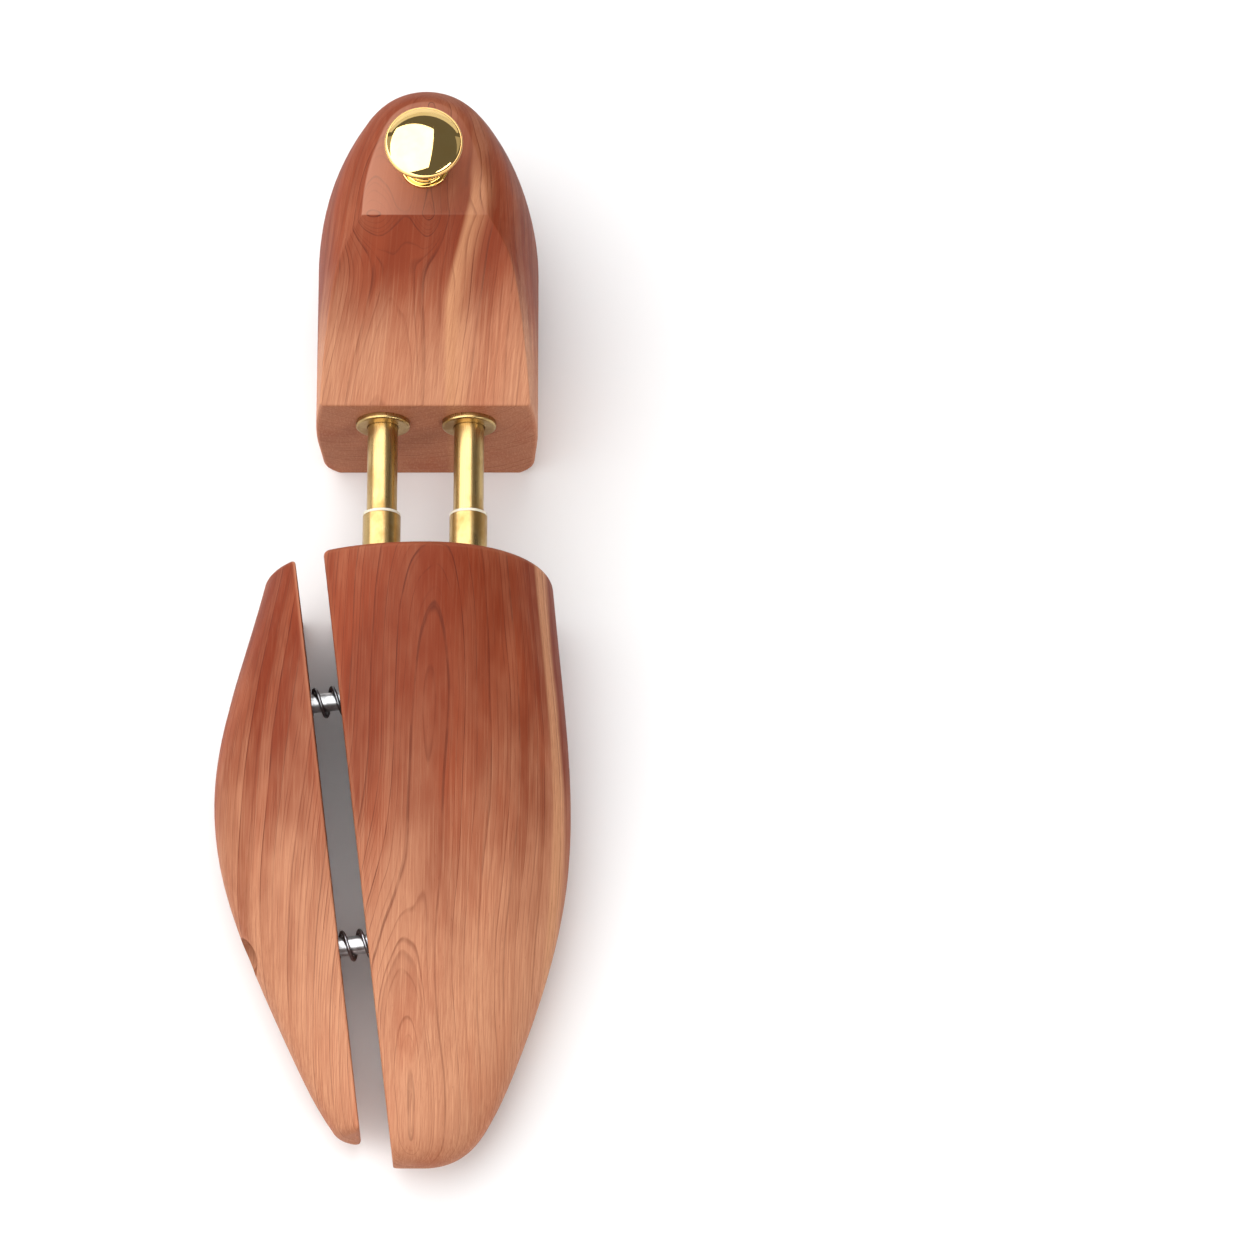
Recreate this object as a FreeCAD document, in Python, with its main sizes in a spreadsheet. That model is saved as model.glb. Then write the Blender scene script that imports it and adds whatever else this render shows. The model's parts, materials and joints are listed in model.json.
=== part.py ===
"""Two-tube cedar shoe tree for a right shoe, in millimetres.

The origin is on the heel block's base, straight below the knob. +Z is up, +Y points to the
back of the shoe, -Y to the toe, and +X to the wearer's inner (medial) side.
"""
import FreeCAD, Part
import math
import os
import re

import Sketcher
from FreeCAD import Placement, Rotation, Vector

# ---------------------------------------------------------------- driving dimensions
SIZES = {
    # Heel block: a flat top, then a slope that falls from a crest to the front face
    "crest_y": -13.6,
    "heel_front_y": -59.3,
    "heel_front_height": 46.8,
    "edge_break": 0.5,
    # Knob: a mushroom head on a stepped rosette, held by a stud
    "rosette_radius": 6.4,
    "rosette_step_radius": 5.1,
    "rosette_base": 1.1,
    "rosette_height": 2.1,
    "rosette_round": 0.3,
    "step_round": 0.4,
    "knob_foot_radius": 4.1,
    "knob_foot_height": 2.9,
    "knob_neck_radius": 3.5,
    "knob_neck_height": 4.6,
    "knob_under_radius": 8.9,
    "knob_under_height": 13.0,
    "knob_rim_radius": 10.25,
    "knob_rim_height": 15.0,
    "knob_height": 18.9,
    "knob_lip_height": 0.9,
    "knob_lip_width": 0.6,
    "knob_lip_rise": 0.4,
    "neck_hollow": 6,
    "under_hollow": 9.5,
    "lip_under_bulge": 1.6,
    "lip_top_bulge": 0.95,
    "stud_radius": 2.0,
    "stud_depth": 20,
    "stud_reach": 10,
    "stud_clearance": 0.1,
    "bore_spare": 1,
    # Twin telescopic tubes
    "tube_x": 11.4,
    "tube_z": 35.5,
    "inner_tube_radius": 4.0,
    "inner_tube_bore": 3.5,
    "inner_tube_back_y": -24.3,
    "inner_tube_end_y": -99.0,
    "outer_tube_radius": 5.0,
    "outer_tube_bore": 4.5,
    "outer_tube_mouth_y": -86.3,
    "outer_tube_end_y": -145.3,
    "glue_gap": 0.1,
    "running_gap": 0.05,
    # Ferrules, bushes, stops and plugs of the tubes
    "ferrule_flange": 1.6,
    "flange_round": 0.6,
    "ferrule_depth": 7,
    "heel_ferrule_radius": 7.2,
    "heel_ferrule_collar": 5.6,
    "fore_ferrule_radius": 8.2,
    "fore_ferrule_collar": 6.5,
    "bush_length": 12.4,
    "bush_lip": 0.8,
    "stop_radius": 4.4,
    "stop_length": 3.0,
    "stop_spigot": 5.0,
    "stop_round": 0.4,
    "plug_length": 7.0,
    "brad_radius": 1.1,
    "brad_recess": 0.6,
    "brad_overrun": 1.5,
    "brad_bore_overrun": 2,
    "heel_brad_y": -40,
    "fore_brad_y": -141.8,
    # Main springs inside the outer tubes
    "main_spring_radius": 3.4,
    "main_spring_wire": 0.5,
    "main_spring_turns": 9,
    # Forepart: the side wing is split off along a slanting line
    "split_rear_x": -26,
    "split_toe_x": -7,
    "wing_gap": 7.5,
    "wing_tip_y": -250,
    # Guide pins of the wing, measured along the split from the rear face
    "rear_pin_along": 31,
    "rear_pin_z": 20,
    "front_pin_along": 97,
    "front_pin_z": 15,
    "pin_radius": 2.5,
    "pin_depth": 16,
    "insert_radius": 4.2,
    "insert_depth": 17,
    "spring_seat_radius": 4.7,
    "main_seat_depth": 7,
    "wing_seat_depth": 2.5,
    "wing_bush_radius": 4.0,
    "wing_bush_length": 6,
    "washer_radius": 4.5,
    "washer_thickness": 1.0,
    "screw_head_radius": 3.5,
    "screw_head_height": 2.2,
    "screw_radius": 1.5,
    "screw_length": 8,
    "screw_round": 0.8,
    "screw_well_radius": 5.2,
    "wing_spring_radius": 3.7,
    "wing_spring_wire": 0.5,
    "wing_spring_turns": 5,
}

# Level outlines of the heel block: height, half width, back, and radius of the rounded back
HEEL_LEVELS = [
    (0, 24.6, 25.2, 20.0),
    (2.5, 26.9, 28.0, 21.5),
    (8, 28.4, 29.8, 22.5),
    (24, 29.4, 30.5, 23.0),
    (39, 28.7, 29.4, 22.2),
    (51, 26.9, 27.6, 20.5),
    (59.5, 24.4, 25.4, 18.2),
    (64.5, 21.2, 23.2, 15.6),
    (68, 16.5, 19.4, 12.0),
]
HEEL_LEVEL_WORDS = ("height", "half_width", "back", "back_radius")

# Guide sections of the forepart from its rear face to the toe: place along Y, lateral and medial
# sides, X of the ridge, top, height of the widest point, bottom, and inset of the sole. The last
# two lie in one plane, which rounds the toe. A bottom below 0 is cut off flat.
FORE_SECTIONS = [
    (-101.3, -42.0, 33.5, 1.0, 57.5, 24.0, -0.4, 10.0),
    (-112.0, -44.5, 34.5, 0.5, 56.5, 23.0, -0.4, 10.0),
    (-134.0, -51.5, 36.8, -1.0, 51.5, 21.0, -0.4, 10.0),
    (-158.0, -56.0, 38.8, -3.0, 44.0, 18.5, -0.4, 10.0),
    (-182.0, -53.0, 38.2, -4.5, 37.0, 16.0, -0.4, 9.5),
    (-206.0, -43.5, 33.0, -5.0, 31.0, 14.0, 0.2, 9.0),
    (-228.0, -33.5, 25.5, -4.5, 27.5, 12.8, 2.4, 8.0),
    (-246.0, -25.0, 18.6, -3.5, 25.0, 12.8, 4.8, 7.0),
    (-257.5, -15.5, 10.5, -2.5, 21.5, 13.2, 7.6, 5.0),
    (-257.5, -3.4, -0.6, -2.0, 15.0, 14.0, 13.0, 0.8),
]
FORE_SECTION_WORDS = ("y", "lateral", "medial", "ridge", "top", "side", "bottom", "inset")
UPPER_FULLNESS = 0.78
LOWER_FULLNESS = 0.8

SIDES = {"medial": 1, "lateral": -1}
TOWARDS_TOE = Rotation(Vector(1, 0, 0), 90)
TOWARDS_HEEL = Rotation(Vector(1, 0, 0), -90)
CUT_MARGIN = 5
CUTTER_SIZE = 400

doc = FreeCAD.newDocument("shoe_tree")
sheet = doc.addObject("Spreadsheet::Sheet", "Sizes")
subparts = []


def fill_sheet():
    """Write every driving dimension into the spreadsheet, with its alias."""
    rows = dict(SIZES)
    for name, words, table in (
        ("heel", HEEL_LEVEL_WORDS, HEEL_LEVELS),
        ("fore", FORE_SECTION_WORDS, FORE_SECTIONS),
    ):
        for index, values in enumerate(table, start=1):
            for word, value in zip(words, values):
                rows[f"{name}_{index}_{word}"] = value
    rows["heel_height"] = HEEL_LEVELS[-1][0]
    rows["fore_rear_y"] = FORE_SECTIONS[0][0]
    rows["fore_toe_y"] = FORE_SECTIONS[-1][0]
    for row, (alias, value) in enumerate(rows.items(), start=1):
        sheet.set(f"A{row}", alias)
        sheet.set(f"B{row}", str(value))
        sheet.setAlias(f"B{row}", alias)
    doc.recompute()


def bound(expression):
    """The expression with each alias written as a cell of the sheet."""
    return re.sub(r"[a-z]\w*", r"Sizes.\g<0>", expression)


def value(expression):
    """The number that an expression of aliases gives now."""
    return float(sheet.evalExpression(expression))


def bind(item, prop, expression):
    item.setExpression(prop, bound(expression))


# ---------------------------------------------------------------- sketches
def new_body(label):
    body = doc.addObject("PartDesign::Body", label)
    body.Label = label
    subparts.append(body)
    return body


def new_sketch(body, name, plane_role, offset="0"):
    """A sketch on one of the body's own origin planes, moved along the plane's normal."""
    sketch = body.newObject("Sketcher::SketchObject", name)
    planes = [item for item in body.Origin.OriginFeatures if item.Role == plane_role]
    sketch.AttachmentSupport = [(planes[0], "")]
    sketch.MapMode = "FlatFace"
    if offset != "0":
        bind(sketch, "AttachmentOffset.Base.z", offset)
    return sketch


def dimension(sketch, kind, *places, size):
    """Add a dimension that follows the sheet. A zero distance becomes a point on the axis."""
    if size == "0":
        axis = -2 if kind == "DistanceX" else -1
        geometry, point = places[-2:]
        sketch.addConstraint(Sketcher.Constraint("PointOnObject", geometry, point, axis))
        return
    index = sketch.addConstraint(Sketcher.Constraint(kind, *places, value(size)))
    bind(sketch, f"Constraints[{index}]", size)


def bulge_point(start, end, radius):
    """The middle of an arc from start to end. A positive radius bulges to the right."""
    chord = end - start
    half = chord.Length / 2
    sagitta = abs(radius) - math.sqrt(radius * radius - half * half)
    right = Vector(chord.y, -chord.x, 0).normalize()
    return (start + end) / 2 + right * math.copysign(sagitta, radius)


def draw_outline(sketch, corners):
    """Draw a closed outline, anticlockwise.

    Each corner is (x, y) or (x, y, radius), in expressions. A radius makes the stretch that
    ends at the corner an arc: positive bulges outwards, negative inwards.
    """
    places = [Vector(value(corner[0]), value(corner[1]), 0) for corner in corners]
    ends = []
    for index, corner in enumerate(corners):
        start, end = places[index - 1], places[index]
        if len(corner) == 2:
            ends.append((sketch.addGeometry(Part.LineSegment(start, end)), 1, 2))
            continue
        radius = value(corner[2])
        geometry = sketch.addGeometry(Part.Arc(start, bulge_point(start, end, radius), end))
        # A sketch keeps every arc anticlockwise, so a hollow one runs from its end to its start
        ends.append((geometry, 1, 2) if radius > 0 else (geometry, 2, 1))
    for index, (geometry, _, finish) in enumerate(ends):
        following, start, _ = ends[(index + 1) % len(ends)]
        sketch.addConstraint(Sketcher.Constraint("Coincident", geometry, finish, following, start))
    for corner, (geometry, _, finish) in zip(corners, ends):
        dimension(sketch, "DistanceX", -1, 1, geometry, finish, size=corner[0])
        dimension(sketch, "DistanceY", -1, 1, geometry, finish, size=corner[1])
        if len(corner) == 3:
            dimension(sketch, "Radius", geometry, size=corner[2].lstrip("-"))


def draw_circles(sketch, centres, radius):
    for x, y in centres:
        circle = Part.Circle(Vector(value(x), value(y), 0), Vector(0, 0, 1), value(radius))
        geometry = sketch.addGeometry(circle)
        dimension(sketch, "DistanceX", -1, 1, geometry, 3, size=x)
        dimension(sketch, "DistanceY", -1, 1, geometry, 3, size=y)
        dimension(sketch, "Radius", geometry, size=radius)


# ---------------------------------------------------------------- features
def checked_cut(pocket):
    """Recompute a cut and make sure that it took some material away."""
    before = pocket.BaseFeature.Shape.Volume
    doc.recompute()
    if pocket.Shape.isNull() or pocket.Shape.Volume > before - 0.01:
        raise RuntimeError(f"{pocket.Label} cuts nothing")


def drill(body, name, plane_role, centres, radius, *, start, depth=None, upwards=False):
    """Bore round holes from a plane. Without a depth they go through all, both ways."""
    sketch = new_sketch(body, f"{name}_sketch", plane_role, start)
    draw_circles(sketch, centres, radius)
    doc.recompute()
    pocket = body.newObject("PartDesign::Pocket", name)
    pocket.Profile = sketch
    if depth is None:
        pocket.Type = "ThroughAll"
        pocket.SideType = "Symmetric"
    else:
        bind(pocket, "Length", depth)
        pocket.Reversed = upwards
    checked_cut(pocket)


def turned(label, corners):
    """A piece turned about its own Z axis from an outline of (radius, height) corners."""
    body = new_body(label)
    sketch = new_sketch(body, f"{label}_outline", "XZ_Plane")
    draw_outline(sketch, corners)
    doc.recompute()
    turn = body.newObject("PartDesign::Revolution", f"{label}_turn")
    turn.Profile = sketch
    turn.ReferenceAxis = (sketch, ["V_Axis"])
    turn.Angle = 360
    doc.recompute()
    return body


def sleeve(bore, outside, length):
    """The outline of a plain sleeve."""
    return [(bore, "0"), (outside, "0"), (outside, length), (bore, length)]


def rod(radius, length):
    """The outline of a plain rod."""
    return [("0", "0"), (radius, "0"), (radius, length), ("0", length)]


def place(item, x, y, z, rotation=None):
    """Put a sub-part at a point whose coordinates follow the sheet."""
    item.Placement = Placement(Vector(), rotation or Rotation())
    for axis, expression in zip("xyz", (x, y, z)):
        bind(item, f"Placement.Base.{axis}", expression)


def coil(label, radius, wire, length, turns):
    """A compression spring about its own Z axis, from 0 to its length."""
    path = doc.addObject("Part::Helix", f"{label}_path")
    bind(path, "Radius", radius)
    bind(path, "Height", f"{length} - 2 * {wire}")
    bind(path, "Pitch", f"({length} - 2 * {wire}) / {turns}")
    section = doc.addObject("Part::Circle", f"{label}_section")
    bind(section, "Radius", wire)
    section.Placement.Rotation = Rotation(Vector(1, 0, 0), 90)
    bind(section, "Placement.Base.x", radius)
    spring = doc.addObject("Part::Sweep", label)
    spring.Label = label
    spring.Sections = [section]
    spring.Spine = (path, ["Edge1"])
    spring.Solid = True
    spring.Frenet = True
    subparts.append(spring)
    return spring


# ---------------------------------------------------------------- heel block
def heel_level(body, index):
    """One level outline: straight sides, and a back of three tangent arcs."""
    level = f"heel_{index}_"
    sketch = new_sketch(body, f"heel_level_{index}", "XY_Plane", level + "height" if index > 1 else "0")
    width = value(level + "half_width")
    radius = value(level + "back_radius")
    front = value("heel_front_y")
    shoulder = value("crest_y")
    centre_y = value(level + "back") - radius
    reach = centre_y - shoulder
    side_radius = (width**2 + reach**2 - radius**2) / (2 * (width - radius))
    side_centre = Vector(width - side_radius, shoulder, 0)
    joint_angle = math.atan2(reach, -side_centre.x)

    def on_side(angle, mirror):
        spot = side_centre + Vector(math.cos(angle), math.sin(angle), 0) * side_radius
        return Vector(spot.x * mirror, spot.y, 0)

    front_line, right_line, right_arc, back_arc, left_arc, left_line = range(6)
    sketch.addGeometry(Part.LineSegment(Vector(-width, front, 0), Vector(width, front, 0)))
    sketch.addGeometry(Part.LineSegment(Vector(width, front, 0), Vector(width, shoulder, 0)))
    right = [on_side(angle, 1) for angle in (0, joint_angle / 2, joint_angle)]
    left = [on_side(angle, -1) for angle in (joint_angle, joint_angle / 2, 0)]
    back = Vector(0, centre_y + radius, 0)
    sketch.addGeometry(Part.Arc(*right))
    sketch.addGeometry(Part.Arc(right[-1], back, left[0]))
    sketch.addGeometry(Part.Arc(*left))
    sketch.addGeometry(Part.LineSegment(Vector(-width, shoulder, 0), Vector(-width, front, 0)))

    rules = [
        ("Coincident", left_line, 2, front_line, 1),
        ("Coincident", front_line, 2, right_line, 1),
        ("Tangent", right_line, 2, right_arc, 1),
        ("Tangent", right_arc, 2, back_arc, 1),
        ("Tangent", back_arc, 2, left_arc, 1),
        ("Tangent", left_arc, 2, left_line, 1),
        ("Symmetric", front_line, 1, front_line, 2, -2),
        ("Vertical", right_line),
        ("Vertical", left_line),
        ("Horizontal", right_line, 2, left_line, 1),
        ("PointOnObject", back_arc, 3, -2),
    ]
    for rule in rules:
        sketch.addConstraint(Sketcher.Constraint(*rule))
    dimension(sketch, "DistanceX", -1, 1, front_line, 2, size=level + "half_width")
    dimension(sketch, "DistanceY", -1, 1, front_line, 2, size="heel_front_y")
    dimension(sketch, "DistanceY", -1, 1, right_line, 2, size="crest_y")
    dimension(sketch, "DistanceY", -1, 1, back_arc, 3, size=f"{level}back - {level}back_radius")
    dimension(sketch, "Radius", back_arc, size=level + "back_radius")
    return sketch


def chamfer_edges(body, name, size, wanted):
    """Break the edges whose sampled points satisfy the test."""
    base = body.Tip
    names = []
    for number, edge in enumerate(base.Shape.Edges, start=1):
        if wanted(edge.discretize(5)):
            names.append(f"Edge{number}")
    chamfer = body.newObject("PartDesign::Chamfer", name)
    chamfer.Base = (base, names)
    bind(chamfer, "Size", size)
    doc.recompute()


def make_heel_block():
    body = new_body("heel_block")
    levels = [heel_level(body, index) for index in range(1, len(HEEL_LEVELS) + 1)]
    doc.recompute()
    loft = body.newObject("PartDesign::AdditiveLoft", "heel_loft")
    loft.Profile = levels[0]
    loft.Sections = levels[1:]
    loft.Ruled = False
    doc.recompute()

    fall = "(heel_height - heel_front_height) / (crest_y - heel_front_y)"
    slope = new_sketch(body, "slope_sketch", "YZ_Plane")
    draw_outline(slope, [
        (f"heel_front_y - {CUT_MARGIN}", f"heel_front_height - {CUT_MARGIN} * {fall}"),
        ("crest_y", "heel_height"),
        ("crest_y", f"heel_height + {CUT_MARGIN}"),
        (f"heel_front_y - {CUT_MARGIN}", f"heel_height + {CUT_MARGIN}"),
    ])
    doc.recompute()
    cut = body.newObject("PartDesign::Pocket", "slope_cut")
    cut.Profile = slope
    cut.Type = "ThroughAll"
    cut.SideType = "Symmetric"
    checked_cut(cut)

    slope_fall = value(fall)

    def on_slope(point):
        height = value("heel_height") - (value("crest_y") - point.y) * slope_fall
        return abs(point.z - height) < 0.01

    def on_front(point):
        return abs(point.y - value("heel_front_y")) < 0.01

    def at_crest(point):
        return abs(point.y - value("crest_y")) < 0.01

    def on_base(point):
        return abs(point.z) < 0.01

    def exposed(points):
        if all(map(at_crest, points)) or all(map(on_base, points)):
            return False
        return all(map(on_slope, points)) or all(map(on_front, points))

    chamfer_edges(body, "front_edges", "edge_break", exposed)

    tubes = [(f"{side} * tube_x", "tube_z") for side in SIDES.values()]
    drill(body, "tube_bores", "XZ_Plane", tubes, "inner_tube_radius + glue_gap",
          start="-heel_front_y", depth="inner_tube_back_y - heel_front_y + bore_spare")
    drill(body, "ferrule_bores", "XZ_Plane", tubes, "heel_ferrule_collar + glue_gap",
          start="-heel_front_y", depth="ferrule_depth + glue_gap")
    drill(body, "stud_bore", "XY_Plane", [("0", "0")], "stud_radius + glue_gap",
          start="heel_height", depth="stud_depth + bore_spare")
    brads = [(f"{side} * tube_x", "heel_brad_y") for side in SIDES.values()]
    drill(body, "brad_holes", "XY_Plane", brads, "brad_radius + glue_gap",
          start="0", depth="tube_z + inner_tube_radius + brad_bore_overrun", upwards=True)
    place(body, "0", "0", "0")


# ---------------------------------------------------------------- knob
def make_knob():
    bore = "stud_radius + stud_clearance"
    rosette = turned("knob_rosette", [
        (bore, "0"),
        ("rosette_radius - rosette_round", "0"),
        ("rosette_radius", "rosette_round", "rosette_round"),
        ("rosette_radius", "rosette_base - rosette_round"),
        ("rosette_radius - rosette_round", "rosette_base", "rosette_round"),
        ("rosette_step_radius", "rosette_base"),
        ("rosette_step_radius", "rosette_height - step_round"),
        ("rosette_step_radius - step_round", "rosette_height", "step_round"),
        (bore, "rosette_height"),
    ])
    place(rosette, "0", "0", "heel_height")
    # The dome's centre is on the axis, so that its top is level
    dome_rise = "(knob_height - knob_rim_height - knob_lip_rise)"
    dome_reach = "(knob_rim_radius - knob_lip_width)"
    dome_radius = f"({dome_rise} ^ 2 + {dome_reach} ^ 2) / (2 * {dome_rise})"
    head = turned("knob_head", [
        (bore, "0"),
        ("knob_foot_radius", "0"),
        ("knob_foot_radius", "knob_foot_height - rosette_height"),
        ("knob_neck_radius", "knob_neck_height - rosette_height", "-neck_hollow"),
        ("knob_under_radius", "knob_under_height - rosette_height", "-under_hollow"),
        ("knob_rim_radius", "knob_rim_height - rosette_height - knob_lip_height", "lip_under_bulge"),
        (dome_reach, "knob_rim_height - rosette_height + knob_lip_rise", "lip_top_bulge"),
        ("0", "knob_height - rosette_height", dome_radius),
        ("0", "stud_reach - rosette_height + stud_clearance"),
        (bore, "stud_reach - rosette_height + stud_clearance"),
    ])
    place(head, "0", "0", "heel_height + rosette_height")
    stud = turned("knob_stud", rod("stud_radius", "stud_depth + stud_reach"))
    place(stud, "0", "0", "heel_height - stud_depth")


# ---------------------------------------------------------------- tubes
def flanged(bore, collar, flange, flange_length, collar_length):
    """The outline of a flanged sleeve: the collar below 0, the flange above it, edges rounded."""
    return [
        (bore, f"-{collar_length}"),
        (collar, f"-{collar_length}"),
        (collar, "0"),
        (flange, "0"),
        (flange, f"{flange_length} - flange_round"),
        (f"{flange} - flange_round", flange_length, "flange_round"),
        (bore, flange_length),
    ]


def make_tubes(side, sign):
    x = f"{sign} * tube_x"

    inner = turned(f"inner_tube_{side}", sleeve(
        "inner_tube_bore", "inner_tube_radius", "inner_tube_back_y - inner_tube_end_y"))
    drill(inner, f"inner_tube_hole_{side}", "XZ_Plane",
          [("0", "inner_tube_back_y - heel_brad_y")], "brad_radius + glue_gap", start="0")
    place(inner, x, "inner_tube_back_y", "tube_z", TOWARDS_TOE)

    stop = turned(f"tube_stop_{side}", [
        ("0", "-stop_spigot"),
        ("inner_tube_bore - running_gap", "-stop_spigot"),
        ("inner_tube_bore - running_gap", "0"),
        ("stop_radius", "0"),
        ("stop_radius", "stop_length - stop_round"),
        ("stop_radius - stop_round", "stop_length", "stop_round"),
        ("0", "stop_length"),
    ])
    place(stop, x, "inner_tube_end_y", "tube_z", TOWARDS_TOE)

    outer = turned(f"outer_tube_{side}", sleeve(
        "outer_tube_bore", "outer_tube_radius", "outer_tube_mouth_y - outer_tube_end_y"))
    drill(outer, f"outer_tube_hole_{side}", "XZ_Plane",
          [("0", "outer_tube_mouth_y - fore_brad_y")], "brad_radius + glue_gap", start="0")
    place(outer, x, "outer_tube_mouth_y", "tube_z", TOWARDS_TOE)

    bush = turned(f"guide_bush_{side}", flanged(
        "inner_tube_radius + running_gap", "outer_tube_bore - running_gap",
        "outer_tube_radius", "bush_lip", "bush_length"))
    place(bush, x, "outer_tube_mouth_y", "tube_z", TOWARDS_HEEL)

    plug = turned(f"tube_plug_{side}", rod("outer_tube_bore - running_gap", "plug_length"))
    drill(plug, f"tube_plug_hole_{side}", "XZ_Plane",
          [("0", "outer_tube_end_y + plug_length - fore_brad_y")],
          "brad_radius + glue_gap", start="0")
    place(plug, x, "outer_tube_end_y + plug_length", "tube_z", TOWARDS_TOE)

    spring_room = "inner_tube_end_y - stop_length - outer_tube_end_y - plug_length"
    spring = coil(f"main_spring_{side}", "main_spring_radius", "main_spring_wire",
                  f"({spring_room} - 2 * glue_gap)", "main_spring_turns")
    place(spring, x, "inner_tube_end_y - stop_length - main_spring_wire - glue_gap",
          "tube_z", TOWARDS_TOE)

    heel_ferrule = turned(f"heel_ferrule_{side}", flanged(
        "inner_tube_radius + running_gap", "heel_ferrule_collar",
        "heel_ferrule_radius", "ferrule_flange", "ferrule_depth"))
    place(heel_ferrule, x, "heel_front_y", "tube_z", TOWARDS_TOE)

    fore_ferrule = turned(f"forepart_ferrule_{side}", flanged(
        "outer_tube_radius + running_gap", "fore_ferrule_collar",
        "fore_ferrule_radius", "ferrule_flange", "ferrule_depth"))
    place(fore_ferrule, x, "fore_rear_y", "tube_z", TOWARDS_HEEL)

    heel_brad = turned(f"heel_tube_brad_{side}", rod(
        "brad_radius", "tube_z + inner_tube_radius + brad_overrun - brad_recess"))
    place(heel_brad, x, "heel_brad_y", "brad_recess")
    fore_brad = turned(f"forepart_tube_brad_{side}", rod(
        "brad_radius", "tube_z + outer_tube_radius + brad_overrun - brad_recess"))
    place(fore_brad, x, "fore_brad_y", "brad_recess")


# ---------------------------------------------------------------- forepart
def guide_section(index):
    """The nine guide points of one section, anticlockwise from the sole's lateral edge."""
    y, lateral, medial, ridge, top, side, bottom, inset = (
        value(f"fore_{index}_{word}") for word in FORE_SECTION_WORDS
    )
    outline = [
        (lateral + inset, bottom),
        (medial - inset, bottom),
        (medial, bottom),
        (medial, side),
        (medial, top),
        (ridge, top),
        (lateral, top),
        (lateral, side),
        (lateral, bottom),
    ]
    return [Vector(x, y, z) for x, z in outline]


def skin(rows, weights):
    """A smooth face guided by one row of points for each edge, across the section."""
    across = len(rows) - 1
    along = len(rows[0])
    spans = along - 3
    surface = Part.BSplineSurface()
    surface.buildFromPolesMultsKnots(
        rows,
        [across + 1, across + 1],
        [4] + [1] * (spans - 1) + [4],
        [0, 1],
        list(range(spans + 1)),
        False,
        False,
        across,
        3,
        [[weight] * along for weight in weights],
    )
    return surface.toShape()


def forepart_solid():
    """The whole forepart before it is split: a flat sole, soft lower corners, a domed top."""
    sections = [guide_section(index) for index in range(1, len(FORE_SECTIONS) + 1)]
    rows = list(zip(*sections))
    rows.append(rows[0])
    faces = [skin([list(row) for row in rows[0:2]], [1, 1])]
    for first, fullness in ((1, LOWER_FULLNESS), (3, UPPER_FULLNESS),
                            (5, UPPER_FULLNESS), (7, LOWER_FULLNESS)):
        faces.append(skin([list(row) for row in rows[first:first + 3]], [1, fullness, 1]))
    for end in (sections[0][0].y, sections[-1][0].y):
        rim = [edge for face in faces for edge in face.Edges
               if all(abs(point.y - end) < 1e-6 for point in edge.discretize(3))]
        rim_wire = Part.Wire(Part.__sortEdges__(rim))
        faces.append(Part.Face(rim_wire))
    shell = Part.makeShell(faces)
    shell.sewShape()
    solid = Part.makeSolid(shell)
    if solid.Volume < 0:
        solid.reverse()
    return solid


def split_frame():
    """A point on the split at the rear face, and the directions to the toe and to the side."""
    start = Vector(value("split_rear_x"), value("fore_rear_y"), 0)
    end = Vector(value("split_toe_x"), value("fore_toe_y"), 0)
    toe = (end - start).normalize()
    outwards = Vector(toe.y, -toe.x, 0)
    return start, toe, outwards


def at_split(along, outwards_by, height):
    """A placement whose Z axis points out to the side, square to the split."""
    start, toe, outwards = split_frame()
    base = start + toe * along + outwards * outwards_by + Vector(0, 0, height)
    return Placement(base, Rotation(Vector(0, 0, 1), outwards))


def cylinder(name, radius, length, placement):
    item = doc.addObject("Part::Cylinder", name)
    bind(item, "Radius", radius)
    bind(item, "Height", length)
    item.Placement = placement
    return item


def cutter_block(name, placement):
    """A cube that is larger than the forepart, to cut with one of its faces."""
    block = doc.addObject("Part::Box", name)
    for prop in ("Length", "Width", "Height"):
        setattr(block, prop, CUTTER_SIZE)
    block.Placement = placement
    return block


def side_of_split(name, outwards_by):
    """A block that covers everything further to the side than the split, moved outwards."""
    start, toe, outwards = split_frame()
    corner = start - toe * CUTTER_SIZE / 4 + outwards * outwards_by - Vector(0, 0, CUTTER_SIZE / 2)
    turn = Rotation(outwards, toe, Vector(0, 0, 1), "XYZ")
    return cutter_block(name, Placement(corner, turn))


def boolean(kind, name, base, *tools):
    """A Cut or Common of the base with its tools, which are fused first if they are several."""
    tool = tools[0]
    if len(tools) > 1:
        tool = doc.addObject("Part::MultiFuse", f"{name}_tools")
        tool.Shapes = list(tools)
    result = doc.addObject(f"Part::{kind}", name)
    result.Base = base
    result.Tool = tool
    return result


def below_base():
    """Everything under the base, which leaves the sole flat."""
    corner = Vector(-CUTTER_SIZE / 2, -CUTTER_SIZE, -CUTTER_SIZE)
    return cutter_block("base_trim", Placement(corner, Rotation()))


def blunt_tip():
    """Everything in front of the wing, which leaves it a blunt tip instead of a sharp one."""
    corner = Vector(-CUTTER_SIZE / 2, value("wing_tip_y") - CUTTER_SIZE, -CUTTER_SIZE / 2)
    return cutter_block("tip_trim", Placement(corner, Rotation()))


PINS = {"rear": ("rear_pin_along", "rear_pin_z"), "front": ("front_pin_along", "front_pin_z")}


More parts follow.
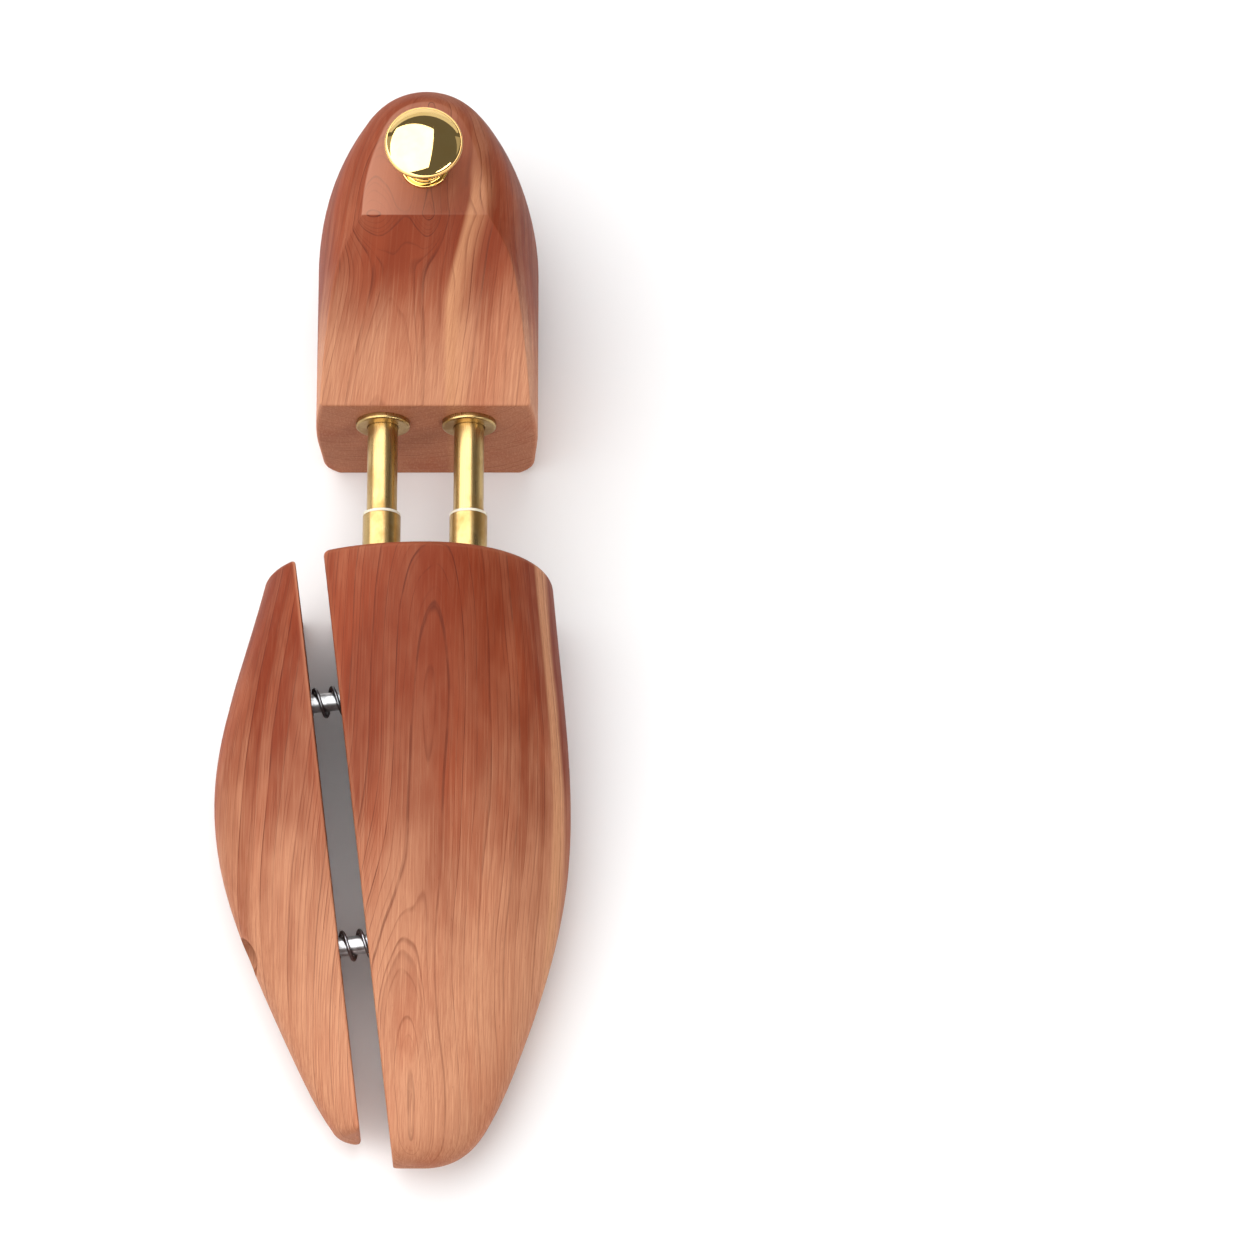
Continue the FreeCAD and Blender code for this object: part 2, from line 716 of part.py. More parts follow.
def make_forepart():
    skinned = doc.addObject("Part::Feature", "forepart_skin")
    skinned.Shape = forepart_solid()
    blank = boolean("Cut", "forepart_blank", skinned, below_base())

    gap = value("glue_gap")
    main_holes = []
    for side, sign in SIDES.items():
        x = sign * value("tube_x")
        start = Vector(x, value("fore_rear_y") + CUT_MARGIN, value("tube_z"))
        spot = Placement(start, TOWARDS_TOE)
        main_holes.append(cylinder(
            f"tube_bore_{side}", "outer_tube_radius + glue_gap",
            f"fore_rear_y - outer_tube_end_y + bore_spare + {CUT_MARGIN}", spot))
        main_holes.append(cylinder(
            f"ferrule_bore_{side}", "fore_ferrule_collar + glue_gap",
            f"ferrule_depth + glue_gap + {CUT_MARGIN}", spot))
        brad_start = Vector(x, value("fore_brad_y"), -CUT_MARGIN)
        main_holes.append(cylinder(
            f"brad_bore_{side}", "brad_radius + glue_gap",
            f"tube_z + outer_tube_radius + brad_bore_overrun + {CUT_MARGIN}",
            Placement(brad_start, Rotation())))

    wing_gap = value("wing_gap")
    seat = value("wing_seat_depth")
    well_from = wing_gap + seat + value("wing_bush_length")
    wing_holes = []
    for name, (along_alias, height_alias) in PINS.items():
        along, height = value(along_alias), value(height_alias)
        main_holes.append(cylinder(
            f"insert_bore_{name}", "insert_radius + glue_gap", "insert_depth + bore_spare",
            at_split(along, -value("insert_depth + bore_spare"), height)))
        main_holes.append(cylinder(
            f"main_seat_{name}", "spring_seat_radius", f"main_seat_depth + {CUT_MARGIN}",
            at_split(along, -value("main_seat_depth"), height)))
        wing_holes.append(cylinder(
            f"wing_bore_{name}", "wing_bush_radius + glue_gap", f"wing_bush_length + {2 * CUT_MARGIN}",
            at_split(along, wing_gap + seat - CUT_MARGIN, height)))
        wing_holes.append(cylinder(
            f"wing_seat_{name}", "spring_seat_radius", f"wing_seat_depth + {CUT_MARGIN}",
            at_split(along, wing_gap - CUT_MARGIN, height)))
        wing_holes.append(cylinder(
            f"screw_well_{name}", "screw_well_radius", f"{CUTTER_SIZE}",
            at_split(along, well_from, height)))

    main_blank = boolean("Cut", "main_blank", blank, side_of_split("main_trim", 0))
    main = boolean("Cut", "forepart_main", main_blank, *main_holes)
    wing_blank = boolean("Common", "wing_blank", blank, side_of_split("wing_trim", wing_gap))
    wing = boolean("Cut", "forepart_wing", wing_blank, blunt_tip(), *wing_holes)
    for item in (main, wing):
        item.Label = item.Name
        subparts.append(item)
    doc.recompute()


def make_wing_fittings(name, along_alias, height_alias):
    along, height = value(along_alias), value(height_alias)
    gap = value("glue_gap")
    bush_from = value("wing_gap") + value("wing_seat_depth")
    stop_from = bush_from + value("wing_bush_length") + gap

    def put(item, outwards_by):
        item.Placement = at_split(along, outwards_by, height)

    pin_length = "pin_depth + wing_gap + wing_seat_depth + wing_bush_length + glue_gap"
    pin = turned(f"wing_guide_pin_{name}", [
        ("0", "0"),
        ("pin_radius", "0"),
        ("pin_radius", pin_length),
        ("screw_radius + glue_gap", pin_length),
        ("screw_radius + glue_gap", f"{pin_length} - screw_length"),
        ("0", f"{pin_length} - screw_length"),
    ])
    put(pin, -value("pin_depth"))
    insert = turned(f"pin_insert_{name}", sleeve(
        "pin_radius + running_gap", "insert_radius", "insert_depth - main_seat_depth"))
    put(insert, -value("insert_depth"))
    spring = coil(f"wing_spring_{name}", "wing_spring_radius", "wing_spring_wire",
                  "(main_seat_depth + wing_gap + wing_seat_depth - 2 * glue_gap)",
                  "wing_spring_turns")
    put(spring, -value("main_seat_depth") + gap + value("wing_spring_wire"))
    bush = turned(f"wing_bush_{name}", sleeve(
        "pin_radius + running_gap", "wing_bush_radius", "wing_bush_length"))
    put(bush, bush_from)
    washer = turned(f"stop_washer_{name}", sleeve(
        "screw_radius + glue_gap", "washer_radius", "washer_thickness"))
    put(washer, stop_from)
    screw_start = "washer_thickness - screw_length + bore_spare"
    screw_end = "washer_thickness + screw_head_height"
    screw = turned(f"stop_screw_{name}", [
        ("0", screw_start),
        ("screw_radius", screw_start),
        ("screw_radius", "washer_thickness"),
        ("screw_head_radius", "washer_thickness"),
        ("screw_head_radius", f"{screw_end} - screw_round"),
        ("screw_head_radius - screw_round", screw_end, "screw_round"),
        ("0", screw_end),
    ])
    put(screw, stop_from)


# ---------------------------------------------------------------- build and write
def check_and_write():
    doc.recompute()
    for item in doc.Objects:
        if "Invalid" in item.State or "Error" in item.State:
            raise RuntimeError(f"{item.Label} failed: {item.State}")
    for item in subparts:
        if item.Shape.isNull() or not item.Shape.isValid():
            raise RuntimeError(f"{item.Label} has no valid shape")
    os.makedirs("parts", exist_ok=True)
    for item in subparts:
        item.Shape.exportStep(f"parts/{item.Label}.step")
        box = item.Shape.optimalBoundingBox()
        print(f"{item.Label:28s} volume {item.Shape.Volume:10.1f}  "
              f"y {box.YMin:8.2f} to {box.YMax:7.2f}  z {box.ZMin:6.2f} to {box.ZMax:6.2f}")


fill_sheet()
make_heel_block()
make_knob()
for side_name, side_sign in SIDES.items():
    make_tubes(side_name, side_sign)
make_forepart()
for pin_name, pin_place in PINS.items():
    make_wing_fittings(pin_name, *pin_place)
check_and_write()
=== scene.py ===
"""The looks of a cedar shoe tree, built around its CAD frame.

Lengths are millimetres, in the frame's own axes: +Z up, +Y to the back of the shoe and +X to its
inner side. add_object() turns them into the frame's metres.
"""
import json
import math

import bmesh
import bpy
import numpy as np
from mathutils import Matrix, Vector


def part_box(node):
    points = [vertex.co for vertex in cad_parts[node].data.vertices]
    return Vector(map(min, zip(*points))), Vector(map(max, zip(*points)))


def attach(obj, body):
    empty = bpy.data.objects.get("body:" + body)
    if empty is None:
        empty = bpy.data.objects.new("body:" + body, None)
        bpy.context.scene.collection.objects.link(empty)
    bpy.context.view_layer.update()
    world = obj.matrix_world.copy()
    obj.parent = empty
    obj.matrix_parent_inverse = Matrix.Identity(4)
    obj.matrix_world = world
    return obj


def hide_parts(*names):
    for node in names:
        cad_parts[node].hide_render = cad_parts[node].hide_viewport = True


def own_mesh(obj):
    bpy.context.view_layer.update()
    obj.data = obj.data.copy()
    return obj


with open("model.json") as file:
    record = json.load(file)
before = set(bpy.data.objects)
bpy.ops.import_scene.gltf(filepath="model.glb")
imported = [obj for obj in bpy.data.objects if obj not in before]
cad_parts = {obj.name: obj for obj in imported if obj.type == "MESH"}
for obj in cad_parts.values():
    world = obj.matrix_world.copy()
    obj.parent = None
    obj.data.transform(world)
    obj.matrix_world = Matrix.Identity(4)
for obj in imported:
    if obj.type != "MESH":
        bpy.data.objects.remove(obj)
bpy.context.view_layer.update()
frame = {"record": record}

MM = 0.001
SCENE = bpy.context.scene
BODY_OF = {
    node: body for body, nodes in frame["record"]["behaviour"]["bodies"].items() for node in nodes
}
SLOT_OF = {part["node"]: part["material_slot"] for part in frame["record"]["subparts"]}

# ---------- shape of the wooden pieces
# Level outlines of the heel block: height, half width, back, and radius of the rounded back
HEEL_LEVELS = np.array([
    (0, 24.6, 25.2, 20.0),
    (2.5, 26.9, 28.0, 21.5),
    (8, 28.4, 29.8, 22.5),
    (24, 29.4, 30.5, 23.0),
    (39, 28.7, 29.4, 22.2),
    (51, 26.9, 27.6, 20.5),
    (59.5, 24.4, 25.4, 18.2),
    (64.5, 21.2, 23.2, 15.6),
    (68, 16.5, 19.4, 12.0),
])
HEEL_HEIGHT = HEEL_LEVELS[-1][0]
CREST_Y = -13.6
FRONT_Y = -59.3
FRONT_HEIGHT = 46.8
SLOPE = (HEEL_HEIGHT - FRONT_HEIGHT) / (CREST_Y - FRONT_Y)
CREST_SOFTNESS = 0.5
FRONT_CORNER = 1.1
SLOPE_EDGE = 0.4
BACK_EDGE = 1.4
BASE_EDGE = 0.8

# Guide sections of the forepart: place along Y, lateral and medial sides, X of the ridge, top,
# height of the widest point, bottom, and inset of the sole
FORE_SECTIONS = np.array([
    (-101.3, -42.0, 33.5, 1.0, 57.5, 24.0, 0.0, 10.0),
    (-112.0, -44.5, 34.5, 0.5, 56.5, 23.0, 0.0, 10.0),
    (-134.0, -51.5, 36.8, -1.0, 51.5, 21.0, 0.0, 10.0),
    (-158.0, -56.0, 38.8, -3.0, 44.0, 18.5, 0.0, 10.0),
    (-182.0, -53.0, 38.2, -4.5, 37.0, 16.0, 0.0, 9.5),
    (-206.0, -43.5, 33.0, -5.0, 31.0, 14.0, 0.2, 9.0),
    (-228.0, -33.5, 25.5, -4.5, 27.5, 12.8, 2.4, 8.0),
    (-246.0, -25.0, 18.6, -3.5, 25.0, 12.8, 4.8, 7.0),
    (-257.5, -15.5, 10.5, -2.5, 21.5, 13.2, 7.6, 5.0),
    (-257.5, -3.4, -0.6, -2.0, 15.0, 14.0, 13.0, 0.8),
])
UPPER_FULLNESS = 0.78
LOWER_FULLNESS = 0.8
REAR_Y = FORE_SECTIONS[0][0]
TOE_Y = FORE_SECTIONS[-1][0]
SPLIT_REAR_X = -26.0
SPLIT_TOE_X = -7.0
WING_GAP = 7.5
WING_TIP_Y = -250.0
RIM_ROUNDING = 1.8
SPLIT_EDGE = 1.2

# Radii and lengths of the fittings and of their fits. A tube has its inner and outer radius, and
# a ferrule its collar's and its flange's
SIDES = ("medial", "lateral")
PINS = ("rear", "front")
BORE_GAP = 0.1
BORE_SPARE = 1.0
SLIDING_GAP = 0.05
INNER_TUBE = (3.5, 4.0)
OUTER_TUBE = (4.5, 5.0)
HEEL_FERRULE = (5.6, 7.2)
FORE_FERRULE = (6.5, 8.2)
FERRULE_DEPTH = 7.0
FLANGE_LENGTH, FLANGE_EDGE = 1.6, 0.7
GUIDE_RADIUS = 4.45
GUIDE_DEPTH = 12.4
PLUG_LENGTH = 7.0
BRAD_RADIUS = 1.1
BRAD_SPARE = 0.5
THROUGH_TUBE = 12
THROUGH_WING = 60
WIRE_RADIUS = 0.5
CLOSED_PITCH = 2.15
CLOSED_TURNS, OPENING_TURNS = 0.6, 0.8
MAIN_SPRING_RADIUS = 3.4
WING_SPRING_RADIUS = 3.7
SPRING_SEAT_RADIUS = 4.7
MAIN_SEAT_DEPTH = 7.0
WING_SEAT_DEPTH = 2.5
INSERT_RADIUS = 4.2
INSERT_LENGTH = 10.0
WING_BUSH_RADIUS = 4.0
WING_BUSH_LENGTH = 6.0
SCREW_WELL_RADIUS = 5.2
PIN_RADIUS = 2.5
PIN_LENGTH = 32.1
SCREW_RADIUS = 1.5
SCREW_DEPTH = 8
WASHER_RADIUS, WASHER_THICKNESS = 4.5, 1.0

TOE_WARD = Vector((SPLIT_TOE_X - SPLIT_REAR_X, TOE_Y - REAR_Y, 0)).normalized()
OUTWARDS = Vector((TOE_WARD.y, -TOE_WARD.x, 0))
ALONG_Y = Vector((0, 1, 0))
UP = Vector((0, 0, 1))
SQUARE = ((-1, -1), (1, -1), (1, 1), (-1, 1))


# ---------- meshes
def middle(node):
    """The middle of a CAD node's box, in millimetres."""
    low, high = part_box(node)
    return (low + high) / (2 * MM)


def extent(node):
    """The low and high corners of a CAD node's box, in millimetres."""
    low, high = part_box(node)
    return low / MM, high / MM


def add_object(name, points, faces):
    """A mesh object through points in millimetres."""
    mesh = bpy.data.meshes.new(name)
    mesh.from_pydata([Vector(point) * MM for point in points], [], faces)
    shape = bmesh.new()
    shape.from_mesh(mesh)
    bmesh.ops.recalc_face_normals(shape, faces=shape.faces)
    shape.to_mesh(mesh)
    shape.free()
    made = bpy.data.objects.new(name, mesh)
    SCENE.collection.objects.link(made)
    return made


def carve(piece, cutters):
    """Takes the cutters' volume out of the piece."""
    for cutter in cutters:
        cut = piece.modifiers.new("cut", "BOOLEAN")
        cut.operation = "DIFFERENCE"
        cut.solver = "EXACT"
        cut.object = cutter
    carved = piece.evaluated_get(bpy.context.evaluated_depsgraph_get())
    mesh = bpy.data.meshes.new_from_object(carved)
    piece.modifiers.clear()
    piece.data = mesh
    for cutter in cutters:
        bpy.data.objects.remove(cutter)


def finish_piece(piece, node, cutters=(), sharp_from=32, even=True):
    """Carves and shades the piece, and puts it in the place of its node. Even shading follows the
    large faces, so that flats stay flat beside their soft edges."""
    if cutters:
        carve(piece, cutters)
    mesh = piece.data
    shape = bmesh.new()
    shape.from_mesh(mesh)
    for face in shape.faces:
        face.smooth = True
    for edge in shape.edges:
        edge.smooth = len(edge.link_faces) != 2 or edge.calc_face_angle() < math.radians(sharp_from)
    shape.to_mesh(mesh)
    shape.free()
    piece.name = f"{node}_finished"
    mesh.materials.clear()
    mesh.materials.append(material_for(node))
    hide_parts(node)
    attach(piece, BODY_OF[node])
    if even:
        piece.modifiers.new("normals", "WEIGHTED_NORMAL").keep_sharp = True


def bend(start, guide, end, steps=4):
    """Points on a soft corner from start to end, both included."""
    points = []
    for share in np.linspace(0, 1, steps + 1):
        points.append(start * (1 - share) ** 2 + guide * (2 * share * (1 - share)) + end * share ** 2)
    return points


def add_strip(faces, first, second):
    """Faces between two rows of points; where points meet, the face loses a corner."""
    for index in range(len(first) - 1):
        corners = (first[index], first[index + 1], second[index + 1], second[index])
        face = tuple(dict.fromkeys(corners))
        if len(face) > 2:
            faces.append(face)


def add_bands(faces, rings):
    """Faces between neighbouring closed rings of points."""
    for first, second in zip(rings, rings[1:]):
        add_strip(faces, first + first[:1], second + second[:1])


def across_axis(axis):
    side = axis.orthogonal().normalized()
    return side, axis.cross(side)


def spoke(side, other, angle):
    return side * math.cos(angle) + other * math.sin(angle)


# ---------- turned pieces
def rounded(corners):
    """An outline through the corners: each is its radius, its place along, and its rounding."""
    outline = []
    for index, (radius, along, rounding) in enumerate(corners):
        here = Vector((radius, along))
        if not rounding:
            outline.append(here)
            continue
        before = Vector(corners[index - 1][:2]) - here
        after = Vector(corners[(index + 1) % len(corners)][:2]) - here
        outline += bend(here + before.normalized() * rounding, here, here + after.normalized() * rounding)
    return outline


def arc(start, end, radius, steps):
    """Points between start and end on an arc; a positive radius bulges to the right of the way."""
    start, end = Vector(start), Vector(end)
    chord = end - start
    across = Vector((chord.y, -chord.x)).normalized()
    height = math.sqrt(radius ** 2 - (chord.length / 2) ** 2)
    centre = (start + end) / 2 - across * math.copysign(height, radius)
    half = math.asin(chord.length / 2 / abs(radius))
    middle_way = across * math.copysign(1, radius)
    turn = math.copysign(1, radius)
    points = []
    for share in np.linspace(-1, 1, steps + 2)[1:-1]:
        out = middle_way.copy()
        out.rotate(Matrix.Rotation(turn * share * half, 2))
        points.append(centre + out * abs(radius))
    return points


def lathe(outline, origin, axis, segments=72):
    """The outline of (radius, along) points turned about an axis. It closes on itself, or at the
    axis where its ends lie there."""
    side, other = across_axis(axis)
    points, rings, faces = [], [], []
    for radius, along in outline:
        centre = origin + axis * along
        if radius < 1e-6:
            rings.append([len(points)] * segments)
            points.append(centre)
            continue
        rings.append(list(range(len(points), len(points) + segments)))
        for step in range(segments):
            angle = 2 * math.pi * step / segments
            points.append(centre + spoke(side, other, angle) * radius)
    if outline[0][0] > 1e-6:
        rings.append(rings[0])
    add_bands(faces, rings)
    return points, faces


def turned(node, outline, axis, cutters=(), segments=72):
    """A turned piece whose middle is the middle of its CAD node."""
    reach = [point[1] for point in outline]
    origin = middle(node) - axis * (min(reach) + max(reach)) / 2
    piece = add_object(node, *lathe(outline, origin, axis, segments))
    finish_piece(piece, node, cutters)


def bore(start, axis, steps, lead=2.0, segments=48):
    """A cutter from start along the axis, through steps of (radius, depth)."""
    outline = [(0, -lead), (steps[0][0], -lead)]
    for index, (radius, depth) in enumerate(steps):
        outline.append((radius, depth))
        if index + 1 < len(steps):
            outline.append((steps[index + 1][0], depth))
    outline.append((0, steps[-1][1]))
    return add_object("cutter", *lathe(outline, start, axis, segments))


def tube_bore(tube, ferrule, collar, face_y, way):
    """A cutter for a tube and its ferrule's collar, from a face of the wood along way."""
    low, high = extent(tube)
    spot = middle(ferrule)
    end = high.y if way.y > 0 else low.y
    return bore(Vector((spot.x, face_y, spot.z)), way, [
        (collar + BORE_GAP, FERRULE_DEPTH + BORE_GAP),
        ((high.x - low.x) / 2 + BORE_GAP, abs(end - face_y) + BORE_SPARE),
    ])


def brad_bore(brad, bottom=0.0, depth=None):
    """A cutter for a brad, upwards from bottom. Without a depth it ends past the brad's tip."""
    spot, top = middle(brad), extent(brad)[1].z
    start = Vector((spot.x, spot.y, bottom))
    return bore(start, UP, [(BRAD_RADIUS + BORE_GAP, depth or top + BRAD_SPARE)])


def sleeve(inside, outside, length, edge=0.15):
    corners = (inside, 0), (outside, 0), (outside, length), (inside, length)
    return rounded([(*corner, edge) for corner in corners])


def rod(radius, length, edge=0.2):
    return rounded([(0, 0, 0), (radius, 0, edge), (radius, length, edge), (0, length, 0)])


def flanged(inside, collar, flange, flange_length, depth, edge):
    """A collar that is sunk in, and a flange that stays outside, with a soft mouth."""
    return rounded([
        (inside, -depth, 0.1),
        (collar, -depth, 0.2),
        (collar, 0, 0),
        (flange, 0, 0.12),
        (flange, flange_length, edge),
        (inside, flange_length, 0.3),
    ])


def coil(node, axis, radius, length, turns, steps=40, sides=12):
    """A wire spring about the axis, with its end turns closed, in the place of its node."""
    wire = WIRE_RADIUS
    travel = length - 2 * wire
    closed_turn = CLOSED_PITCH * wire
    open_pitch = (travel - 2 * closed_turn) / (turns - 2)
    start = middle(node) - axis * travel / 2
    side, other = across_axis(axis)
    stations = np.linspace(0, turns, turns * steps + 1)
    from_end = np.minimum(stations, turns - stations)
    openness = np.clip((from_end - CLOSED_TURNS) / OPENING_TURNS, 0, 1)
    pitches = closed_turn + (open_pitch - closed_turn) * openness
    along = np.concatenate([[0], np.cumsum((pitches[1:] + pitches[:-1]) / 2 / steps)])
    along *= travel / along[-1]
    points, faces = [], []
    for station, place, pitch in zip(stations, along, pitches):
        angle = 2 * math.pi * station
        out = spoke(side, other, angle)
        way = spoke(other, -side, angle) * 2 * math.pi * radius + axis * pitch
        across = way.normalized().cross(out)
        centre = start + axis * place + out * radius
        for step in range(sides):
            turn = 2 * math.pi * step / sides
            points.append(centre + spoke(out, across, turn) * wire)
    rings = [list(range(i * sides, (i + 1) * sides)) for i in range(len(stations))]
    add_bands(faces, rings)
    faces += [rings[0], rings[-1]]
    piece = add_object(node, points, faces)
    finish_piece(piece, node, sharp_from=60, even=False)
    return piece


# ---------- heel block
def curve_through(places, values):
    """A natural cubic curve through the values, as a function of the place."""
    gaps = np.diff(places)
    steepness = np.diff(values) / gaps
    count = len(places)
    system = np.eye(count)
    right = np.zeros(count)
    for i in range(1, count - 1):
        system[i, i - 1:i + 2] = gaps[i - 1], 2 * (gaps[i - 1] + gaps[i]), gaps[i]
        right[i] = 6 * (steepness[i] - steepness[i - 1])
    bends = np.linalg.solve(system, right)

    def at(place):
        i = int(np.clip(np.searchsorted(places, place) - 1, 0, count - 2))
        after, before = places[i + 1] - place, place - places[i]
        gap = gaps[i]
        return ((bends[i] * after ** 3 + bends[i + 1] * before ** 3) / (6 * gap)
                + (values[i] / gap - bends[i] * gap / 6) * after
                + (values[i + 1] / gap - bends[i + 1] * gap / 6) * before)

    return at


half_width, back_place, back_radius = (
    curve_through(HEEL_LEVELS[:, 0], HEEL_LEVELS[:, column]) for column in (1, 2, 3))


def heel_top(y):
    """Height of the flat top and of the slope in front of it, with a soft crest between."""
    before = CREST_Y + CREST_SOFTNESS - y
    if before <= 0:
        return HEEL_HEIGHT
    if before >= 2 * CREST_SOFTNESS:
        return HEEL_HEIGHT - SLOPE * (CREST_Y - y)
    return HEEL_HEIGHT - SLOPE * before ** 2 / (4 * CREST_SOFTNESS)


def back_arcs(height):
    """Centre and radius of the flank arc and of the back arc, and the angle where they meet."""
    width, back, radius = half_width(height), back_place(height), back_radius(height)
    depth = back - radius - CREST_Y
    flank = (width ** 2 + depth ** 2 - radius ** 2) / (2 * (width - radius))
    flank_centre = Vector((width - flank, CREST_Y))
    back_centre = Vector((0, back - radius))
    meeting = math.atan2(depth, flank - width)
    return flank_centre, flank, back_centre, radius, meeting


def on_arc(centre, radius, angle):
    """A place on an arc and the way in from there."""
    out = Vector((math.cos(angle), math.sin(angle)))
    return centre + out * radius, -out


def half_outline():
    """Stations from the middle of the front to the middle of the back. Each is a function of the
    height that gives its place in plan and the way in from there."""
    stations = []
    for share in np.linspace(0, 1, 10, endpoint=False):
        stations.append(lambda height, share=share: (
            Vector((share * (half_width(height) - FRONT_CORNER), FRONT_Y)), Vector((0, 1))))
    first_corner = len(stations)
    for angle in np.linspace(-math.pi / 2, 0, 6, endpoint=False):
        def corner(height, angle=angle):
            centre = Vector((half_width(height) - FRONT_CORNER, FRONT_Y + FRONT_CORNER))
            return on_arc(centre, FRONT_CORNER, angle)
        stations.append(corner)
    slope_places = np.linspace(FRONT_Y + FRONT_CORNER, CREST_Y - 2, 22)
    crest_places = CREST_Y + CREST_SOFTNESS * np.linspace(-1.6, 0, 6)
    for y in [*slope_places, *crest_places]:
        stations.append(lambda height, y=y: (Vector((half_width(height), y)), Vector((-1, 0))))
    for share in np.linspace(0, 1, 22)[1:]:
        def flank(height, share=share ** 1.3):
            centre, radius, _, _, meeting = back_arcs(height)
            return on_arc(centre, radius, meeting * share)
        stations.append(flank)
    for share in np.linspace(0, 1, 22)[1:]:
        def back(height, share=share):
            _, _, centre, radius, meeting = back_arcs(height)
            return on_arc(centre, radius, meeting + (math.pi / 2 - meeting) * share)
        stations.append(back)
    return stations, first_corner


def heel_column(station, levels=30):
    """The heel block's side at one station, from inside the base's edge to inside the top's."""
    def at(height, inward=0.0):
        place, way_in = station(height)
        place = place + way_in * inward
        return Vector((place.x, place.y, height))

    top = heel_top(station(HEEL_HEIGHT)[0].y)
    behind = max(0.0, station(top)[0].y - CREST_Y) / (back_place(top) - CREST_Y)
    edge = SLOPE_EDGE + (BACK_EDGE - SLOPE_EDGE) * min(1.0, behind * 1.5)
    inner = at(top, edge)
    inner.z = heel_top(inner.y)
    heights = np.linspace(BASE_EDGE, top - edge, levels)[1:-1]
    return [
        *bend(at(0, BASE_EDGE), at(0), at(BASE_EDGE)),
        *(at(height) for height in heights),
        *bend(at(top - edge), at(top), inner),
    ]


def heel_block_mesh():
    """Columns round the block, then rows across its top and across its base."""
    stations, first_corner = half_outline()
    right_columns = [heel_column(station) for station in stations]
    points, faces = [], []

    def store(column, mirror):
        start = len(points)
        points.extend(Vector((point.x * mirror, point.y, point.z)) for point in column)
        return list(range(start, len(points)))

    right = [store(column, 1) for column in right_columns]
    left = [store(column, -1) for column in right_columns[1:-1]]
    left = [right[0], *left, right[-1]]
    for columns in (right, left):
        for first, second in zip(columns, columns[1:]):
            add_strip(faces, first, second)

    for end in (0, -1):
        row = [left[i][end] for i in range(first_corner, 0, -1)]
        row += [right[i][end] for i in range(first_corner + 1)]
        for i in range(first_corner + 1, len(stations)):
            lateral, medial = left[i][end], right[i][end]
            next_row = [lateral]
            for share in np.linspace(0, 1, len(row))[1:-1]:
                next_row.append(len(points))
                points.append(points[lateral].lerp(points[medial], share))
            next_row.append(medial)
            if i == len(stations) - 1:
                next_row = [medial] * len(row)
            add_strip(faces, row, next_row)
            row = next_row
    return points, faces


def make_heel_block():
    piece = add_object("heel_block", *heel_block_mesh())
    cutters = []
    for side in SIDES:
        cutters.append(tube_bore(
            f"inner_tube_{side}", f"heel_ferrule_{side}", HEEL_FERRULE[0], FRONT_Y, ALONG_Y))
        cutters.append(brad_bore(f"heel_tube_brad_{side}"))
    stud_low, stud_high = extent("knob_stud")
    stud_radius = (stud_high.x - stud_low.x) / 2
    depth = HEEL_HEIGHT - stud_low.z + BORE_SPARE
    cutters.append(bore(Vector((0, 0, HEEL_HEIGHT)), -UP, [(stud_radius + BORE_GAP, depth)]))
    finish_piece(piece, "heel_block", cutters)


# ---------- forepart
def guided_row(rows, place):
    """The row at a place from 0 to 1 along a clamped cubic curve that the rows guide."""
    spans = len(rows) - 3
    knots = np.concatenate([np.zeros(3), np.arange(spans + 1), np.full(3, spans)])
    at = min(place, 1 - 1e-9) * spans
    first = int(at)
    work = [rows[first + i] for i in range(4)]
    for level in (1, 2, 3):
        for i in range(3, level - 1, -1):
            left = knots[first + i]
            share = (at - left) / (knots[first + 4 + i - level] - left)
            work[i] = (1 - share) * work[i - 1] + share * work[i]
    return work[3]


def place_at(y):
    """The place along the guide sections, from 0 to 1, where the forepart reaches y."""
    low, high = 0.0, 1.0
    for _ in range(50):
        half = (low + high) / 2
        if guided_row(FORE_SECTIONS, half)[0] > y:
            low = half
        else:
            high = half
    return low


def conic(start, guide, end, fullness, steps):
    """Points from start up to end, end left out."""
    share = np.linspace(0, 1, steps, endpoint=False)[:, None]
    first, second, third = (1 - share) ** 2, 2 * fullness * share * (1 - share), share ** 2
    total = first + second + third
    return (first * np.array(start) + second * np.array(guide) + third * np.array(end)) / total


def section_outline(section, shrink, steps=40):
    """X and Z round a section of the forepart, anticlockwise from its lateral side."""
    _, lateral, medial, ridge, top, side, bottom, inset = section
    lateral, medial = lateral + shrink, medial - shrink
    top, bottom = top - shrink, bottom + shrink
    return np.concatenate([
        conic((lateral, side), (lateral, bottom), (lateral + inset, bottom), LOWER_FULLNESS, steps),
        np.linspace((lateral + inset, bottom), (medial - inset, bottom), steps, endpoint=False),
        conic((medial - inset, bottom), (medial, bottom), (medial, side), LOWER_FULLNESS, steps),
        conic((medial, side), (medial, top), (ridge, top), UPPER_FULLNESS, steps),
        conic((ridge, top), (lateral, top), (lateral, side), UPPER_FULLNESS, steps),
    ])


def kept_part(outline, limit, sign):
    """The stretch of a closed outline on one side of x = limit, with both ends on the limit."""
    first = int(np.argmin(outline[:, 0] * sign))
    path = np.concatenate([outline[first:], outline[:first + 1]])
    kept = np.flatnonzero((path[:, 0] - limit) * sign > 0)
    start, end = kept[0], kept[-1]

    def crossing(inside, outside):
        if not 0 <= outside < len(path):
            return np.empty((0, 2))
        share = (limit - path[outside][0]) / (path[inside][0] - path[outside][0])
        return (path[outside] + share * (path[inside] - path[outside]))[None]

    return np.concatenate([crossing(start, start - 1), path[start:end + 1], crossing(end, end + 1)])


def spaced(path, count, trim):
    """Evenly spaced points on a path, from trim after its start to trim before its end."""
    lengths = np.concatenate([[0], np.cumsum(np.linalg.norm(np.diff(path, axis=0), axis=1))])
    places = np.linspace(trim, lengths[-1] - trim, count)
    return np.stack([np.interp(places, lengths, path[:, axis]) for axis in (0, 1)], axis=1)


